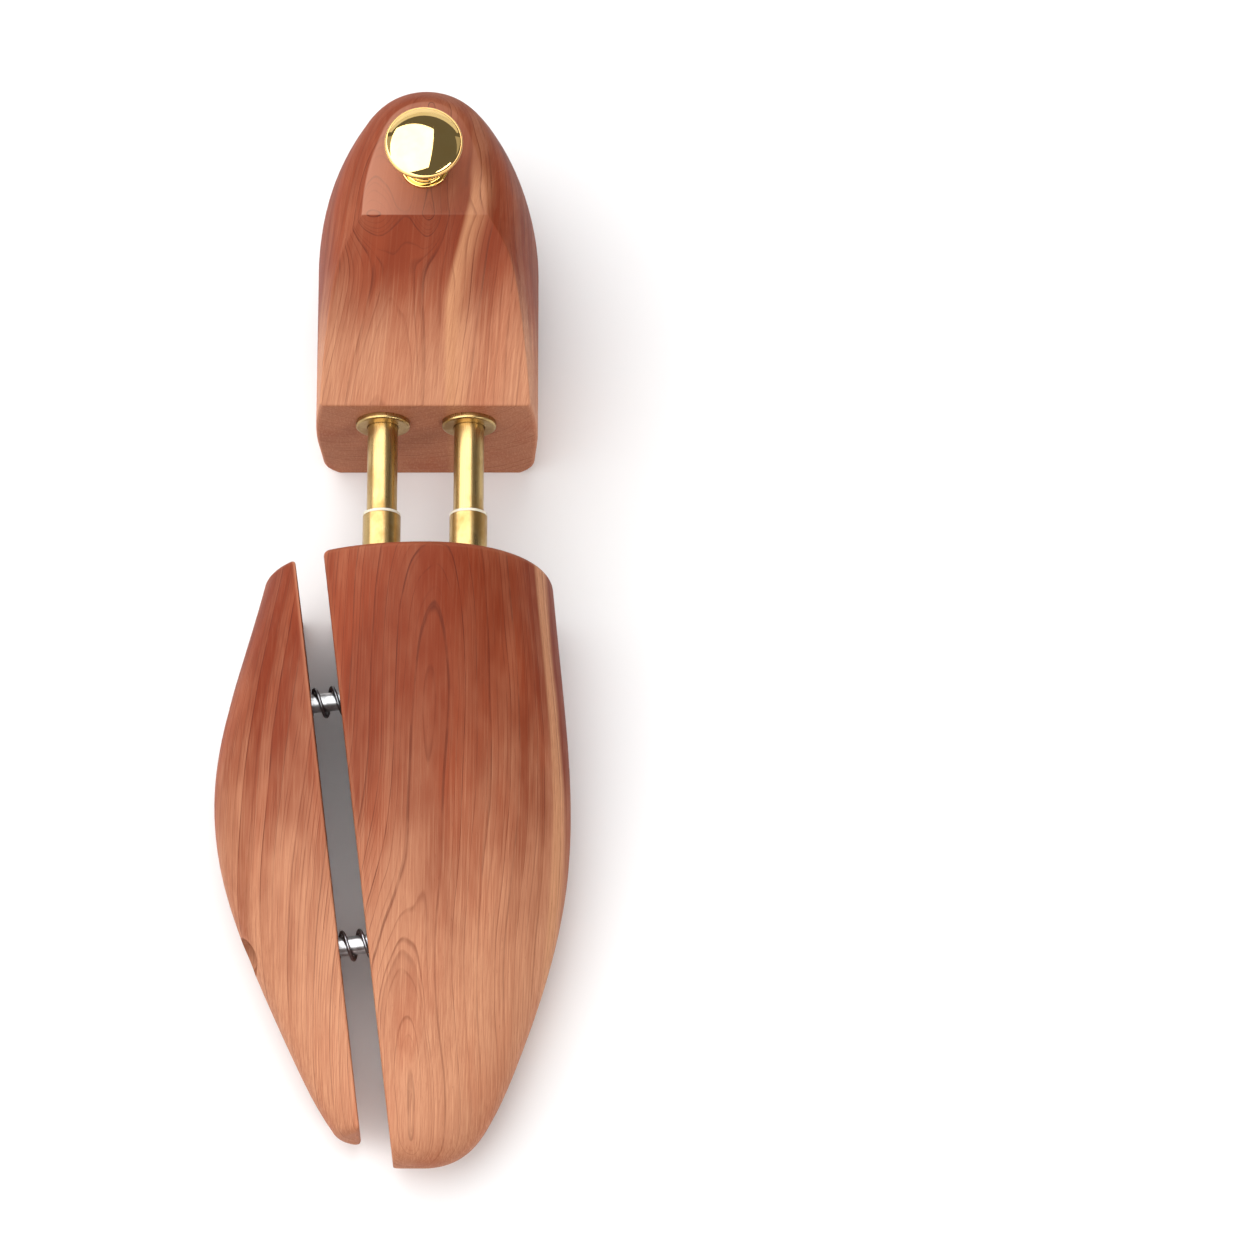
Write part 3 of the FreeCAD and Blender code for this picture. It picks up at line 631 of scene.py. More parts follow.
def forepart_ring(section, shrink, limit, sign):
    """One closed ring of the main piece (sign 1) or of the wing (sign -1)."""
    path = kept_part(section_outline(section, shrink), limit, sign)
    face = path[0] - path[-1]
    reach = np.linalg.norm(face)
    edge = min(SPLIT_EDGE, reach / 3)
    way = face / reach if reach > 1e-9 else face
    outer = spaced(path, 92, edge)
    after, before = path[-1] + way * edge, path[0] - way * edge
    ring = np.concatenate([
        outer,
        bend(outer[-1], path[-1], after)[1:],
        np.linspace(after, before, 12)[1:-1],
        bend(before, path[0], outer[0])[:-1],
    ])
    return [Vector((x, section[0], z)) for x, z in ring]


def split_x(y):
    return SPLIT_REAR_X + (SPLIT_TOE_X - SPLIT_REAR_X) * (REAR_Y - y) / (REAR_Y - TOE_Y)


def rim(y, towards, steps=6):
    """Stations of (place, shrink) that round the rim at y, from its flat face onwards."""
    stations = []
    for angle in np.linspace(0, math.pi / 2, steps, endpoint=False):
        place = place_at(y + towards * RIM_ROUNDING * (1 - math.cos(angle)))
        stations.append((place, RIM_ROUNDING * (1 - math.sin(angle))))
    return stations


def loft(rings):
    points = [point for ring in rings for point in ring]
    size = len(rings[0])
    indexes = [list(range(i * size, (i + 1) * size)) for i in range(len(rings))]
    faces = [indexes[0], indexes[-1]]
    add_bands(faces, indexes)
    return points, faces


def forepart_mesh(sign, offset, stations):
    """Rings of the main piece or the wing, at stations of (place, shrink)."""
    rings = []
    for place, shrink in stations:
        section = guided_row(FORE_SECTIONS, place)
        limit = split_x(section[0]) + sign * shrink - offset
        rings.append(forepart_ring(section, shrink, limit, sign))
    return loft(rings)


def pin_line(name):
    """Where a guide pin's axis meets the main piece's split face."""
    pin = middle(f"wing_guide_pin_{name}")
    on_split = Vector((SPLIT_REAR_X, REAR_Y, pin.z))
    return pin + OUTWARDS * (on_split - pin).dot(OUTWARDS)


def make_forepart_main():
    start = place_at(REAR_Y - RIM_ROUNDING)
    body = [(1 - (1 - start) * (1 - share) ** 1.4, 0.0) for share in np.linspace(0, 1, 90)]
    piece = add_object("forepart_main", *forepart_mesh(1, 0.0, rim(REAR_Y, -1) + body))
    cutters = []
    for side in SIDES:
        cutters.append(tube_bore(
            f"outer_tube_{side}", f"forepart_ferrule_{side}", FORE_FERRULE[0], REAR_Y, -ALONG_Y))
        cutters.append(brad_bore(f"forepart_tube_brad_{side}"))
    for name in PINS:
        cutters.append(bore(pin_line(name), -OUTWARDS, [
            (SPRING_SEAT_RADIUS, MAIN_SEAT_DEPTH),
            (INSERT_RADIUS + BORE_GAP, MAIN_SEAT_DEPTH + INSERT_LENGTH + BORE_SPARE),
        ]))
    finish_piece(piece, "forepart_main", cutters)


def make_forepart_wing():
    first, last = place_at(REAR_Y - RIM_ROUNDING), place_at(WING_TIP_Y + RIM_ROUNDING)
    body = [(place, 0.0) for place in np.linspace(first, last, 76)]
    stations = rim(REAR_Y, -1) + body + rim(WING_TIP_Y, 1)[::-1]
    piece = add_object("forepart_wing", *forepart_mesh(-1, WING_GAP / -OUTWARDS.x, stations))
    cutters = []
    for name in PINS:
        start = pin_line(name) + OUTWARDS * WING_GAP
        cutters.append(bore(start, OUTWARDS, [
            (SPRING_SEAT_RADIUS, WING_SEAT_DEPTH),
            (WING_BUSH_RADIUS + BORE_GAP, WING_SEAT_DEPTH + WING_BUSH_LENGTH),
            (SCREW_WELL_RADIUS, THROUGH_WING),
        ]))
    finish_piece(piece, "forepart_wing", cutters)


# ---------- knob
def make_knob():
    bore_radius, bore_top, rosette_top = 2.1, 10.1, 2.1
    turned("knob_rosette", rounded([
        (bore_radius, 0, 0),
        (6.4, 0, 0.15),
        (6.4, 1.1, 0.4),
        (5.35, 1.1, 0.1),
        (5.1, 1.35, 0.1),
        (5.1, rosette_top, 0.35),
        (bore_radius, rosette_top, 0),
    ]), UP, segments=96)

    # Heights above the block's flat top; the head starts on the rosette
    foot, neck, flare = (4.1, 2.8), (3.5, 4.6), (8.9, 13.0)
    bead_under, bead_top = (10.1, 14.25), (10.0, 15.2)
    dome_edge, dome_top = (9.7, 15.2), (0.0, 18.9)
    rise, reach = dome_top[1] - dome_edge[1], dome_edge[0]
    dome_radius = (rise ** 2 + reach ** 2) / (2 * rise)
    outline = [
        (0.0, bore_top),
        (bore_radius, bore_top),
        (bore_radius, rosette_top),
        (3.9, rosette_top),
        (4.1, 2.3),
        foot,
        *arc(foot, neck, -6, 5),
        neck,
        *arc(neck, flare, -9.5, 16),
        flare,
        *arc(flare, bead_under, 1.9, 4),
        bead_under,
        *arc(bead_under, bead_top, 0.56, 9),
        bead_top,
        *arc(bead_top, dome_edge, -0.3, 3),
        dome_edge,
        *arc(dome_edge, dome_top, dome_radius, 26),
        dome_top,
    ]
    turned("knob_head", outline, UP, segments=144)
    low, high = extent("knob_stud")
    turned("knob_stud", rod((high.x - low.x) / 2, high.z - low.z), UP)


# ---------- materials
class Field:
    """A number that varies over a surface. Arithmetic with it adds nodes to its material."""

    def __init__(self, shader, socket):
        self.shader = shader
        self.socket = socket

    def using(self, operation, *others):
        return self.shader.math(operation, self, *others)

    def __add__(self, other):
        return self.using("ADD", other)

    def __sub__(self, other):
        return self.using("SUBTRACT", other)

    def __mul__(self, other):
        return self.using("MULTIPLY", other)

    def __truediv__(self, other):
        return self.using("DIVIDE", other)

    def __neg__(self):
        return self * -1

    __radd__ = __add__

    def squared(self):
        return self * self

    def root(self):
        return self.using("SQRT")

    def size(self):
        return self.using("ABSOLUTE")

    def ramp(self, low, high, start=0.0, end=1.0):
        """A smooth change from start to end as the number goes from low to high."""
        return self.shader.ramp(self, low, high, start, end)


class Shader:
    """A material made of nodes around one Principled shader."""

    def __init__(self, name, **surface):
        self.material = bpy.data.materials.new(name)
        self.material.use_nodes = True
        self.tree = self.material.node_tree
        self.surface = self.tree.nodes["Principled BSDF"]
        for socket, value in surface.items():
            self.surface.inputs[socket.replace("_", " ")].default_value = value

    def node(self, kind, inputs, **settings):
        node = self.tree.nodes.new(kind)
        for setting, value in settings.items():
            setattr(node, setting, value)
        for socket, value in inputs.items():
            if isinstance(value, Field):
                self.tree.links.new(value.socket, node.inputs[socket])
            else:
                node.inputs[socket].default_value = value
        return node

    def field(self, node, output=0):
        return Field(self, node.outputs[output])

    def math(self, operation, *values):
        return self.field(self.node("ShaderNodeMath", dict(enumerate(values)), operation=operation))

    def ramp(self, value, low, high, start=0.0, end=1.0):
        return self.field(self.node("ShaderNodeMapRange", {
            "Value": value, "From Min": low, "From Max": high, "To Min": start, "To Max": end,
        }, interpolation_type="SMOOTHSTEP"))

    def parts(self, vector):
        split = self.node("ShaderNodeSeparateXYZ", {0: vector})
        return [self.field(split, axis) for axis in range(3)]

    def place(self):
        """X, Y and Z in the frame, in millimetres."""
        spot = self.field(self.node("ShaderNodeTexCoord", {}), "Object")
        scaled = self.node("ShaderNodeVectorMath", {0: spot, "Scale": 1 / MM}, operation="SCALE")
        return self.parts(self.field(scaled))

    def facing(self):
        """X, Y and Z of the surface's direction, in the frame."""
        return self.parts(self.field(self.node("ShaderNodeTexCoord", {}), "Normal"))

    def noise(self, place, scale, detail=2.0, roughness=0.5):
        """Cloudy noise from 0 to 1, about 1/scale millimetres in size, at (x, y, z)."""
        vector = self.field(self.node("ShaderNodeCombineXYZ", dict(enumerate(place))))
        return self.field(self.node("ShaderNodeTexNoise", {
            "Vector": vector, "Scale": scale, "Detail": detail, "Roughness": roughness}))

    def noise_along(self, value, scale):
        return self.field(self.node("ShaderNodeTexNoise", {
            "W": value, "Scale": scale, "Detail": 1.0}, noise_dimensions="1D"))

    def chance(self, value):
        """A steady random number from 0 to 1 for each whole number."""
        return self.field(self.node("ShaderNodeTexWhiteNoise", {"W": value}, noise_dimensions="1D"))

    def edges(self):
        """Above 0.5 on outer edges, and below it in inner corners."""
        return self.field(self.node("ShaderNodeNewGeometry", {}), "Pointiness")

    def corners(self):
        """From 0 on flats to 1 in inner corners, where painted shade darkens them."""
        return self.edges().ramp(0.38, 0.49, 1.0, 0.0)

    def rubbed(self):
        """From 0 on flats to 1 on outer edges, which rub bright."""
        return self.edges().ramp(0.54, 0.64)

    def layered(self, color, *layers):
        """The colour with layers laid over it in turn, each a share and another colour."""
        for share, other in layers:
            mix = self.node("ShaderNodeMix", {0: share, 6: color, 7: other}, data_type="RGBA")
            color = self.field(mix, 2)
        return color

    def finish(self, color, roughness, height, depth):
        """Links the looks; the bump is depth millimetres deep where height goes from 0 to 1."""
        bump = self.node("ShaderNodeBump", {"Height": height, "Distance": depth * MM, "Strength": 1.0})
        for socket, value in (("Base Color", color), ("Roughness", roughness),
                              ("Normal", self.field(bump))):
            self.tree.links.new(value.socket, self.surface.inputs[socket])
        return self.material


def paint(red, green, blue):
    """A display colour of 0 to 255 as the shader's linear one."""
    linear = []
    for value in (red, green, blue):
        value /= 255
        linear.append(value / 12.92 if value <= 0.04045 else ((value + 0.055) / 1.055) ** 2.4)
    return (*linear, 1.0)


# Colours of the cedar, and the spacing and thickness of its ring lines
PALE_WOOD, DARK_WOOD = paint(203, 144, 110), paint(122, 48, 25)
BLUSH, PALE_STREAK = paint(172, 84, 52), paint(218, 160, 117)
DARK_FIBRE, PALE_FIBRE = paint(142, 66, 40), paint(232, 172, 132)
LATE_WOOD, FINE_LINE, MAIN_LINE = paint(126, 54, 32), paint(96, 40, 26), paint(74, 30, 22)
PORE, END_GRAIN = paint(104, 50, 34), paint(128, 58, 34)
# The top sheen colour is a painted sheen on level tops
# The worn-edge colour is edge wear together with a painted highlight along edges
PAINTED_TOP_SHEEN, WORN_EDGE_AND_HIGHLIGHT = paint(212, 156, 130), paint(222, 152, 116)
MAIN_RINGS = (3.4, 0.5)
FINE_RINGS = (1.15, 0.32)
GRAIN_BEND = 16.0


def growth_lines(wood, distance, spacing, thickness, seed):
    """Thin dark lines where growth rings end, unevenly spaced and unevenly dark, and the slow
    darkening from each ring's start to its end."""
    turn = distance / spacing + wood.noise_along(distance / spacing + seed, 0.6) * 1.6
    ring = wood.math("FLOOR", turn)
    part = wood.math("FRACT", turn)
    share = thickness / spacing
    line = part.ramp(1 - share, 1 - share / 4) * part.ramp(1 - share / 4, 1.0, 1.0, 0.0)
    shade = part.ramp(0.1, 0.95)
    darkness = wood.chance(ring + seed) * 0.65 + 0.35
    return line * darkness, shade * wood.chance(ring + seed + 0.5), ring


def heel_streak(x, y, _):
    """A pale streak down the heel block's slope that leans with the grain."""
    offset = x - y.ramp(-38, -4, 5.6, 12.6)
    return offset.ramp(-1.0, 0.6) * offset.ramp(0.8, 7.5, 1.0, 0.0) * y.ramp(-8, 4, 1.0, 0.2)


def forepart_streak(x, _, distance):
    """A pale growth ring on the forepart's medial side."""
    return (distance - 40).size().ramp(1.6, 4.2, 1.0, 0.0) * x.ramp(12, 20)


def cedar_grain(wood, pith, lean, drop, pits):
    """X and Z along the grain, the distance from the pith line, and how closed up the rings are.
    The line passes through pith (x, z) at y = 0 and changes by lean in X and drop in Z along Y.
    Pits are (x, z, width, height, rise), where the rings close up into nested arches."""
    x, y, z = wood.place()
    falling = wood.math("SMOOTH_MIN", y, CREST_Y, GRAIN_BEND)
    grain_x = x - y * lean
    grain_z = z - falling * drop
    slow = wood.noise((grain_x, y * 0.25, grain_z), 0.045, detail=0.0)
    other = wood.noise((grain_z + 40, y * 0.25, grain_x), 0.05, detail=0.0)
    wobble = wood.noise((grain_x, y * 0.2, grain_z), 0.13, detail=1.0)
    across = grain_x - pith[0] + (slow - 0.5) * 10
    depth = grain_z - pith[1] + (other - 0.5) * 8
    distance = (across.squared() + depth.squared()).root() + (wobble - 0.5) * 1.8
    closeness = 0.0
    for pit_x, pit_z, width, height, rise in pits:
        spread = ((x - pit_x) / width).squared() + ((z - pit_z) / height).squared()
        pit = wood.math("EXPONENT", -spread)
        distance = distance + pit * rise
        closeness = pit + closeness
    return grain_x, grain_z, distance, closeness


def cedar(name, pith, lean, drop, pits, streak, toning, painted_top_sheen):
    """Red cedar with its rings about a pith line and a pale streak. Toning is the Y where the wood
    is palest and the Y where it is darkest. Painted top sheen pales a level top, most on its left, as
    a painted sheen from the light on that side; edges are paled for wear and a painted highlight."""
    wood = Shader(name, IOR=1.5, Specular_IOR_Level=0.06)
    x, y, _ = wood.place()
    grain_x, grain_z, distance, closeness = cedar_grain(wood, pith, lean, drop, pits)
    main_lines, main_shade, ring = growth_lines(wood, distance, *MAIN_RINGS, seed=3.0)
    fine_lines, fine_shade, _ = growth_lines(wood, distance, *FINE_RINGS, seed=11.0)
    fading = wood.noise((grain_x * 0.5, y * 0.12, grain_z * 0.5), 0.8, detail=2.0)
    fibres = wood.noise((grain_x * 3.4, y * 0.12, grain_z * 1.5), 1.0, detail=3.0,
                        roughness=0.65)
    fan_x = x - y * lean * 0.4
    pale_fibres = wood.noise((fan_x * 2.1, y * 0.035, grain_z * 0.5), 1.0, detail=2.0)
    pores = wood.noise((grain_x * 7.0, y * 0.5, grain_z * 3.0), 1.0, detail=1.0)
    clouds = wood.noise((grain_x, y * 0.35, grain_z), 0.07, detail=3.0, roughness=0.6)
    blush = wood.noise((grain_x, y * 0.25, grain_z + 90), 0.09, detail=2.0)

    palest, darkest = toning
    tone = clouds * 0.9 + wood.chance(ring + 5.0) * 0.2 + y.ramp(palest, darkest, -0.5, 0.25) - 0.05
    calm = y.ramp(palest, darkest, 0.5, 1.0)
    fine_clearness = (fading.ramp(0.3, 0.55) + closeness * 0.9) * calm
    main_clearness = (fading.ramp(0.35, 0.6, 0.2, 0.75) + closeness * 0.6) * calm
    _, facing_y, facing_z = wood.facing()
    color = wood.layered(
        PALE_WOOD,
        (tone.ramp(0.0, 0.9), DARK_WOOD),
        (blush.ramp(0.45, 0.75, 0.0, 0.35), BLUSH),
        (streak(x, y, distance) * 0.75, PALE_STREAK),
        ((fibres - 0.5).ramp(-0.22, 0.22, 0.0, 0.3), DARK_FIBRE),
        (pale_fibres.ramp(0.46, 0.72) * y.ramp(palest, darkest, 0.34, 0.04), PALE_FIBRE),
        ((main_shade * 0.2 + fine_shade * 0.1) * calm, LATE_WOOD),
        (fine_lines * fine_clearness * 0.6, FINE_LINE),
        (main_lines * main_clearness, MAIN_LINE),
        (pores.ramp(0.68, 0.8, 0.0, 0.3), PORE),
        (facing_y.size().ramp(0.0, 1.2, 0.0, 0.4), END_GRAIN),
        # Painted sheen: level tops painted paler, most on the left, where the softbox light would reflect
        (facing_z.ramp(0.93, 0.985) * x.ramp(-18, 10, painted_top_sheen, painted_top_sheen * 0.2), PAINTED_TOP_SHEEN),
        # Outer edges paled: partly wear, partly a painted highlight where edges catch the light
        (wood.edges().ramp(0.506, 0.57, 0.0, 0.45), WORN_EDGE_AND_HIGHLIGHT),
    )
    roughness = 0.42 + fibres * 0.14 + fine_lines * 0.08
    height = fibres * 0.5 - fine_lines * 0.3 - main_lines * 0.5 - pores.ramp(0.68, 0.8) * 0.4
    return wood.finish(color, roughness, height, 0.03)


def polished_brass(name):
    """Mirror brass with faint turning marks and hairlines, and a rougher bead round the knob, whose
    colour is darkened as a painted dim reflection.
    """
    brass = Shader(name, Metallic=1.0, Coat_Weight=0.0)
    x, y, z = brass.place()
    radius = (x.squared() + y.squared()).root()
    turning = brass.noise((radius * 9, z * 9, 0.0), 1.0, detail=2.0)
    hairs = brass.noise((x * 1.2, y * 14, z * 2), 1.0, detail=3.0, roughness=0.7)
    haze = brass.noise((x, y, z), 0.25, detail=3.0)
    corner = brass.corners() * radius.ramp(1, 2)
    # The bead is rougher, and its colour is darkened as a painted dim reflection
    rim = radius.ramp(9.5, 9.9)
    color = brass.layered(
        paint(236, 202, 132),
        (haze.ramp(0.3, 0.7, 0.0, 0.5), paint(230, 190, 114)),
        # Painted shade: inner corners darkened, kept off the dome's tip
        (corner * 0.7, paint(150, 96, 30)),
        (rim * 0.9, paint(178, 134, 84)),
    )
    roughness = (0.03 + haze.ramp(0.45, 0.8, 0.0, 0.05) + hairs.ramp(0.62, 0.75, 0.0, 0.06)
                 + rim * 0.25)
    height = turning * 0.5 + hairs * 0.2
    return brass.finish(color, roughness, height, 0.0012)


def drawn_brass(name):
    """Tube brass with lengthwise draw lines, light rubbing marks and a little tarnish."""
    brass = Shader(name, Metallic=1.0)
    x, y, z = brass.place()
    lines = brass.noise((x * 6, y * 0.05, z * 6), 1.0, detail=3.0, roughness=0.7)
    rings = brass.noise((x * 0.2, y * 5, z * 0.2), 1.0, detail=3.0, roughness=0.7)
    tarnish = brass.noise((x, y * 0.6, z), 0.12, detail=4.0, roughness=0.65)
    color = brass.layered(
        paint(178, 150, 100),
        (tarnish.ramp(0.42, 0.68), paint(152, 118, 68)),
        # Painted shade in inner corners
        (brass.corners() * 0.8, paint(96, 66, 32)),
        (brass.rubbed() * 0.5, paint(206, 184, 136)),
    )
    roughness = 0.24 + lines.ramp(0.35, 0.75, 0.0, 0.16) + tarnish.ramp(0.4, 0.7, 0.0, 0.12)
    height = lines * 0.6 + rings * 0.4
    return brass.finish(color, roughness, height, 0.004)


def steel(name, bright, dark, base_roughness, along_y):
    """Steel with fine lines along its length, and duller patches."""
    metal = Shader(name, Metallic=1.0)
    x, y, z = metal.place()
    lines = metal.noise((x * 6, y * along_y, z * 6), 1.0, detail=3.0, roughness=0.7)
    patches = metal.noise((x, y, z), 0.5, detail=4.0, roughness=0.6)
    color = metal.layered(
        bright, (patches.ramp(0.35, 0.7), dark), (metal.rubbed() * 0.5, paint(226, 226, 226)))
    roughness = base_roughness + lines.ramp(0.35, 0.75, 0.0, 0.14) + patches * 0.1
    return metal.finish(color, roughness, lines, 0.003)


def nylon(name):
    """Natural moulded nylon: creamy, slightly mottled, with a fine moulded grain."""
    plastic = Shader(name, IOR=1.53, Subsurface_Weight=0.08, Subsurface_Scale=0.001)
    x, y, z = plastic.place()
    mottle = plastic.noise((x, y, z), 0.3, detail=3.0)
    grain = plastic.noise((x, y, z), 5.0, detail=2.0)
    color = plastic.layered(
        paint(232, 226, 208),
        (mottle.ramp(0.3, 0.7), paint(216, 207, 184)),
        # Painted shade in inner corners
        (plastic.corners() * 0.6, paint(150, 138, 112)),
    )
    roughness = 0.42 + grain * 0.12
    return plastic.finish(color, roughness, grain, 0.004)


MATERIALS = {name: make(name, *looks) for name, make, *looks in (
    ("heel_cedar", cedar, (4.5, 94.0), 0.22, 0.56, [
        (-17.0, 70.0, 9.0, 5.2, -13.0),
        (1.5, 69.8, 4.2, 4.8, -8.2),
    ], heel_streak, (-56, -20), 0.48),
    ("fore_cedar", cedar, (8.0, 98.0), 0.04, 0.30, [
        (-18.0, 30.0, 12.0, 10.0, -5.0),
    ], forepart_streak, (-250, -120), 0.0),
    ("knob_brass", polished_brass),
    ("tube_brass", drawn_brass),
    ("spring_steel", steel, paint(178, 180, 184), paint(132, 134, 138), 0.22, 0.6),
    ("plain_steel", steel, paint(204, 205, 206), paint(168, 169, 170), 0.26, 0.3),
    ("bush_plastic", nylon),
)}


def material_for(node):
    slot = SLOT_OF[node]
    if slot == "cedar":
        slot = "heel_cedar" if BODY_OF[node] == "heel" else "fore_cedar"
    return MATERIALS[slot]


# ---------- tubes and their fittings
def make_tube_set(side):
    heel_brad, fore_brad = f"heel_tube_brad_{side}", f"forepart_tube_brad_{side}"
    for node, (inside, outside), brad in (
        (f"inner_tube_{side}", INNER_TUBE, heel_brad),
        (f"outer_tube_{side}", OUTER_TUBE, fore_brad),
    ):
        low, high = extent(node)
        cutters = [brad_bore(brad, low.z, THROUGH_TUBE)]
        turned(node, sleeve(inside, outside, high.y - low.y), ALONG_Y, cutters)

    turned(f"tube_stop_{side}", rounded([
        (0, -5, 0),
        (3.45, -5, 0.4),
        (3.45, 0, 0),
        (4.4, 0, 0.2),
        (4.4, 3, 0.5),
        (0, 3, 0),
    ]), -ALONG_Y)
    inner_bore, outer_bore = INNER_TUBE[1] + SLIDING_GAP, OUTER_TUBE[1] + SLIDING_GAP
    bush = flanged(inner_bore, GUIDE_RADIUS, OUTER_TUBE[1], 0.8, GUIDE_DEPTH, 0.3)
    turned(f"guide_bush_{side}", bush, ALONG_Y)
    node = f"tube_plug_{side}"
    cutters = [brad_bore(fore_brad, extent(node)[0].z, THROUGH_TUBE)]
    turned(node, rod(GUIDE_RADIUS, PLUG_LENGTH, 0.5), -ALONG_Y, cutters)
    for node, inside, collar, flange, way in (
        (f"heel_ferrule_{side}", inner_bore, *HEEL_FERRULE, -ALONG_Y),
        (f"forepart_ferrule_{side}", outer_bore, *FORE_FERRULE, ALONG_Y),
    ):
        outline = flanged(inside, collar, flange, FLANGE_LENGTH, FERRULE_DEPTH, FLANGE_EDGE)
        turned(node, outline, way, segments=96)
    for brad in (heel_brad, fore_brad):
        low, high = extent(brad)
        turned(brad, rod(BRAD_RADIUS, high.z - low.z, 0.25), UP, segments=32)

    node = f"main_spring_{side}"
    low, high = extent(node)
    spring = coil(node, -ALONG_Y, MAIN_SPRING_RADIUS, high.y - low.y, turns=9)
    Vector((middle(node).x, low.y, middle(node).z)) * MM
    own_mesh(spring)


# ---------- the wing's fittings
def recess_cutters(head_face, axis, size):
    """Two crossing slots that taper as they sink into a screw's head."""
    other = axis.cross(UP)
    cutters = []
    for first, second in ((UP, other), (other, UP)):
        points = []
        for depth, share in ((0.2, 1.0), (-size * 0.55, 0.55)):
            for across, along in SQUARE:
                spot = first * (across * size * share) + second * (along * size * 0.2)
                points.append(head_face + axis * depth + spot)
        faces = [(0, 1, 2, 3), (4, 5, 6, 7), (0, 1, 5, 4), (1, 2, 6, 5), (2, 3, 7, 6), (3, 0, 4, 7)]
        cutters.append(add_object("cutter", points, faces))
    return cutters


def make_wing_fittings(name):
    pin_bore, screw_bore = PIN_RADIUS + SLIDING_GAP, SCREW_RADIUS + BORE_GAP
    screw_end = PIN_LENGTH - SCREW_DEPTH
    turned(f"wing_guide_pin_{name}", rounded([
        (0, 0, 0),
        (PIN_RADIUS, 0, 0.5),
        (PIN_RADIUS, PIN_LENGTH, 0.2),
        (screw_bore, PIN_LENGTH, 0.1),
        (screw_bore, screw_end, 0),
        (0, screw_end, 0),
    ]), OUTWARDS)
    for node, outline in (
        (f"pin_insert_{name}", sleeve(pin_bore, INSERT_RADIUS, INSERT_LENGTH, 0.3)),
        (f"wing_bush_{name}", sleeve(pin_bore, WING_BUSH_RADIUS, WING_BUSH_LENGTH, 0.3)),
        (f"stop_washer_{name}", sleeve(screw_bore, WASHER_RADIUS, WASHER_THICKNESS)),
    ):
        turned(node, outline, OUTWARDS)

    node = f"stop_screw_{name}"
    head_height, shank, head_radius = 2.2, 7.0, 3.5
    outline = rounded([
        (0, 0, 0),
        (SCREW_RADIUS, 0, 0.3),
        (SCREW_RADIUS, shank, 0),
        (head_radius, shank, 0.15),
        (head_radius, shank + head_height, 1.3),
        (0, shank + head_height, 0),
    ])
    head_face = middle(node) + OUTWARDS * (shank + head_height) / 2
    turned(node, outline, OUTWARDS, recess_cutters(head_face, OUTWARDS, size=1.9))

    node = f"wing_spring_{name}"
    length = MAIN_SEAT_DEPTH + WING_GAP + WING_SEAT_DEPTH - 2 * BORE_GAP
    spring = coil(node, OUTWARDS, WING_SPRING_RADIUS, length, turns=5)
    (middle(node) - OUTWARDS * length / 2) * MM
    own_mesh(spring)


# ---------- camera, light and floor
# The tree lies under the camera's left half, seen from steeply above its toe
CAMERA_ELEVATION = math.radians(69)
CAMERA_DISTANCE = 1800
FRAME_WIDTH = 330
KNOB_LEFT_OF_CENTRE = 0.161
KNOB_ABOVE_CENTRE = 0.367
SOFTBOX_WAY, SOFTBOX_TURN = (-0.45, 0.08, 0.89), math.radians(-3)
STRIP_WAY, STRIP_TURN = (0.621, -0.588, 0.518), math.radians(56)
ROOM_GREY, BACKDROP_GREY, PAPER_GREY = ((grey, grey, grey, 1) for grey in (0.16, 0.97, 0.92))
FLOOR_REACH = 6000


def add_camera():
    away = Vector((0, -math.cos(CAMERA_ELEVATION), math.sin(CAMERA_ELEVATION)))
    upwards = Vector((0, math.sin(CAMERA_ELEVATION), math.cos(CAMERA_ELEVATION)))
    knob_foot = Vector((0, 0, HEEL_HEIGHT))
    aim = knob_foot + Vector((1, 0, 0)) * KNOB_LEFT_OF_CENTRE * FRAME_WIDTH
    aim -= upwards * KNOB_ABOVE_CENTRE * FRAME_WIDTH
    data = bpy.data.cameras.new("camera")
    data.lens = data.sensor_width * CAMERA_DISTANCE / FRAME_WIDTH
    data.clip_end = 20
    camera = bpy.data.objects.new("camera", data)
    camera.location = (aim + away * CAMERA_DISTANCE) * MM
    camera.rotation_euler = (math.pi / 2 - CAMERA_ELEVATION, 0, 0)
    SCENE.collection.objects.link(camera)
    SCENE.camera = camera


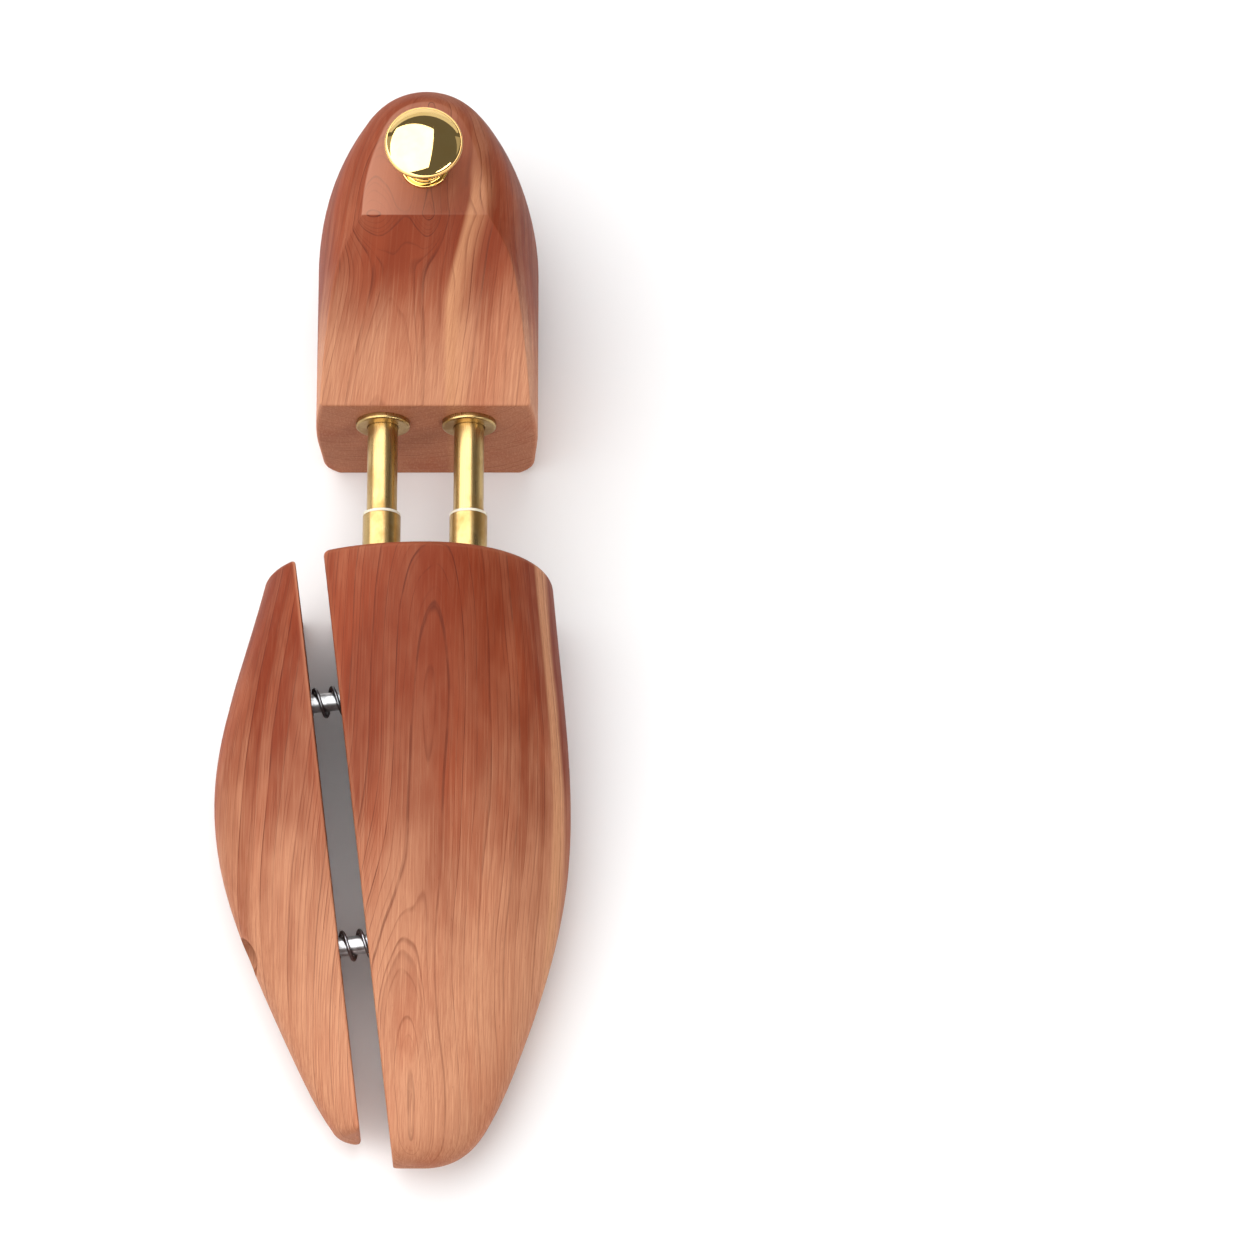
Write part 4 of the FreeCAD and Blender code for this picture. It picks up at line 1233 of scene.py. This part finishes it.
def add_light(name, towards, distance, size, power, turn=0.0, gloss_only=False):
    """A rectangular light that faces the tree. Distance and size are in metres, power in watts."""
    data = bpy.data.lights.new(name, "AREA")
    data.shape = "RECTANGLE"
    data.size, data.size_y = size
    data.energy = power
    light = bpy.data.objects.new(name, data)
    away = Vector(towards).normalized()
    length_way = (ALONG_Y - away * ALONG_Y.dot(away)).normalized()
    width_way = length_way.cross(away)
    facing = Matrix((width_way, length_way, away)).transposed() @ Matrix.Rotation(turn, 3, "Z")
    light.matrix_world = Matrix.Translation(away * distance) @ facing.to_4x4()
    light.visible_camera = False
    light.visible_diffuse = not gloss_only
    SCENE.collection.objects.link(light)


def add_studio():
    """A wide overhead softbox on the left, a thin strip low on the front right, panels that only
    show in reflections, a dim room, and a white floor."""
    add_light("softbox", SOFTBOX_WAY, 2.2, (4.2, 5.2), 140, SOFTBOX_TURN)
    add_light("softbox_gloss", SOFTBOX_WAY, 2.25, (4.3, 5.3), 150, SOFTBOX_TURN, gloss_only=True)
    add_light("backdrop_gloss", (0.0, 1.0, 0.1), 3.0, (7.0, 0.6), 10, gloss_only=True)
    for side in (-1, 1):
        add_light("side_gloss", (side, -0.1, 0.2), 2.8, (1.0, 4.5), 5, gloss_only=True)
    add_light("strip", STRIP_WAY, 1.45, (1.04, 0.2), 6.5, STRIP_TURN)
    world = bpy.data.worlds.new("room")
    world.use_nodes = True
    SCENE.world = world
    nodes, links = world.node_tree.nodes, world.node_tree.links
    mix = nodes.new("ShaderNodeMixShader")
    ray = nodes.new("ShaderNodeLightPath")
    backdrop = nodes.new("ShaderNodeBackground")
    room = nodes["Background"]
    room.inputs["Color"].default_value = ROOM_GREY
    backdrop.inputs["Color"].default_value = BACKDROP_GREY
    links.new(ray.outputs["Is Camera Ray"], mix.inputs[0])
    links.new(room.outputs[0], mix.inputs[1])
    links.new(backdrop.outputs[0], mix.inputs[2])
    links.new(mix.outputs[0], nodes["World Output"].inputs["Surface"])

    corners = [(x * FLOOR_REACH, y * FLOOR_REACH, 0) for x, y in SQUARE]
    floor = add_object("floor", corners, [(0, 1, 2, 3)])
    paper = Shader("paper", Base_Color=PAPER_GREY, Roughness=0.9, Specular_IOR_Level=0.1)
    floor.data.materials.append(paper.material)
    SCENE.view_settings.view_transform = "Standard"


make_heel_block()
make_knob()
for side in SIDES:
    make_tube_set(side)
make_forepart_main()
make_forepart_wing()
for name in PINS:
    make_wing_fittings(name)
add_camera()
add_studio()
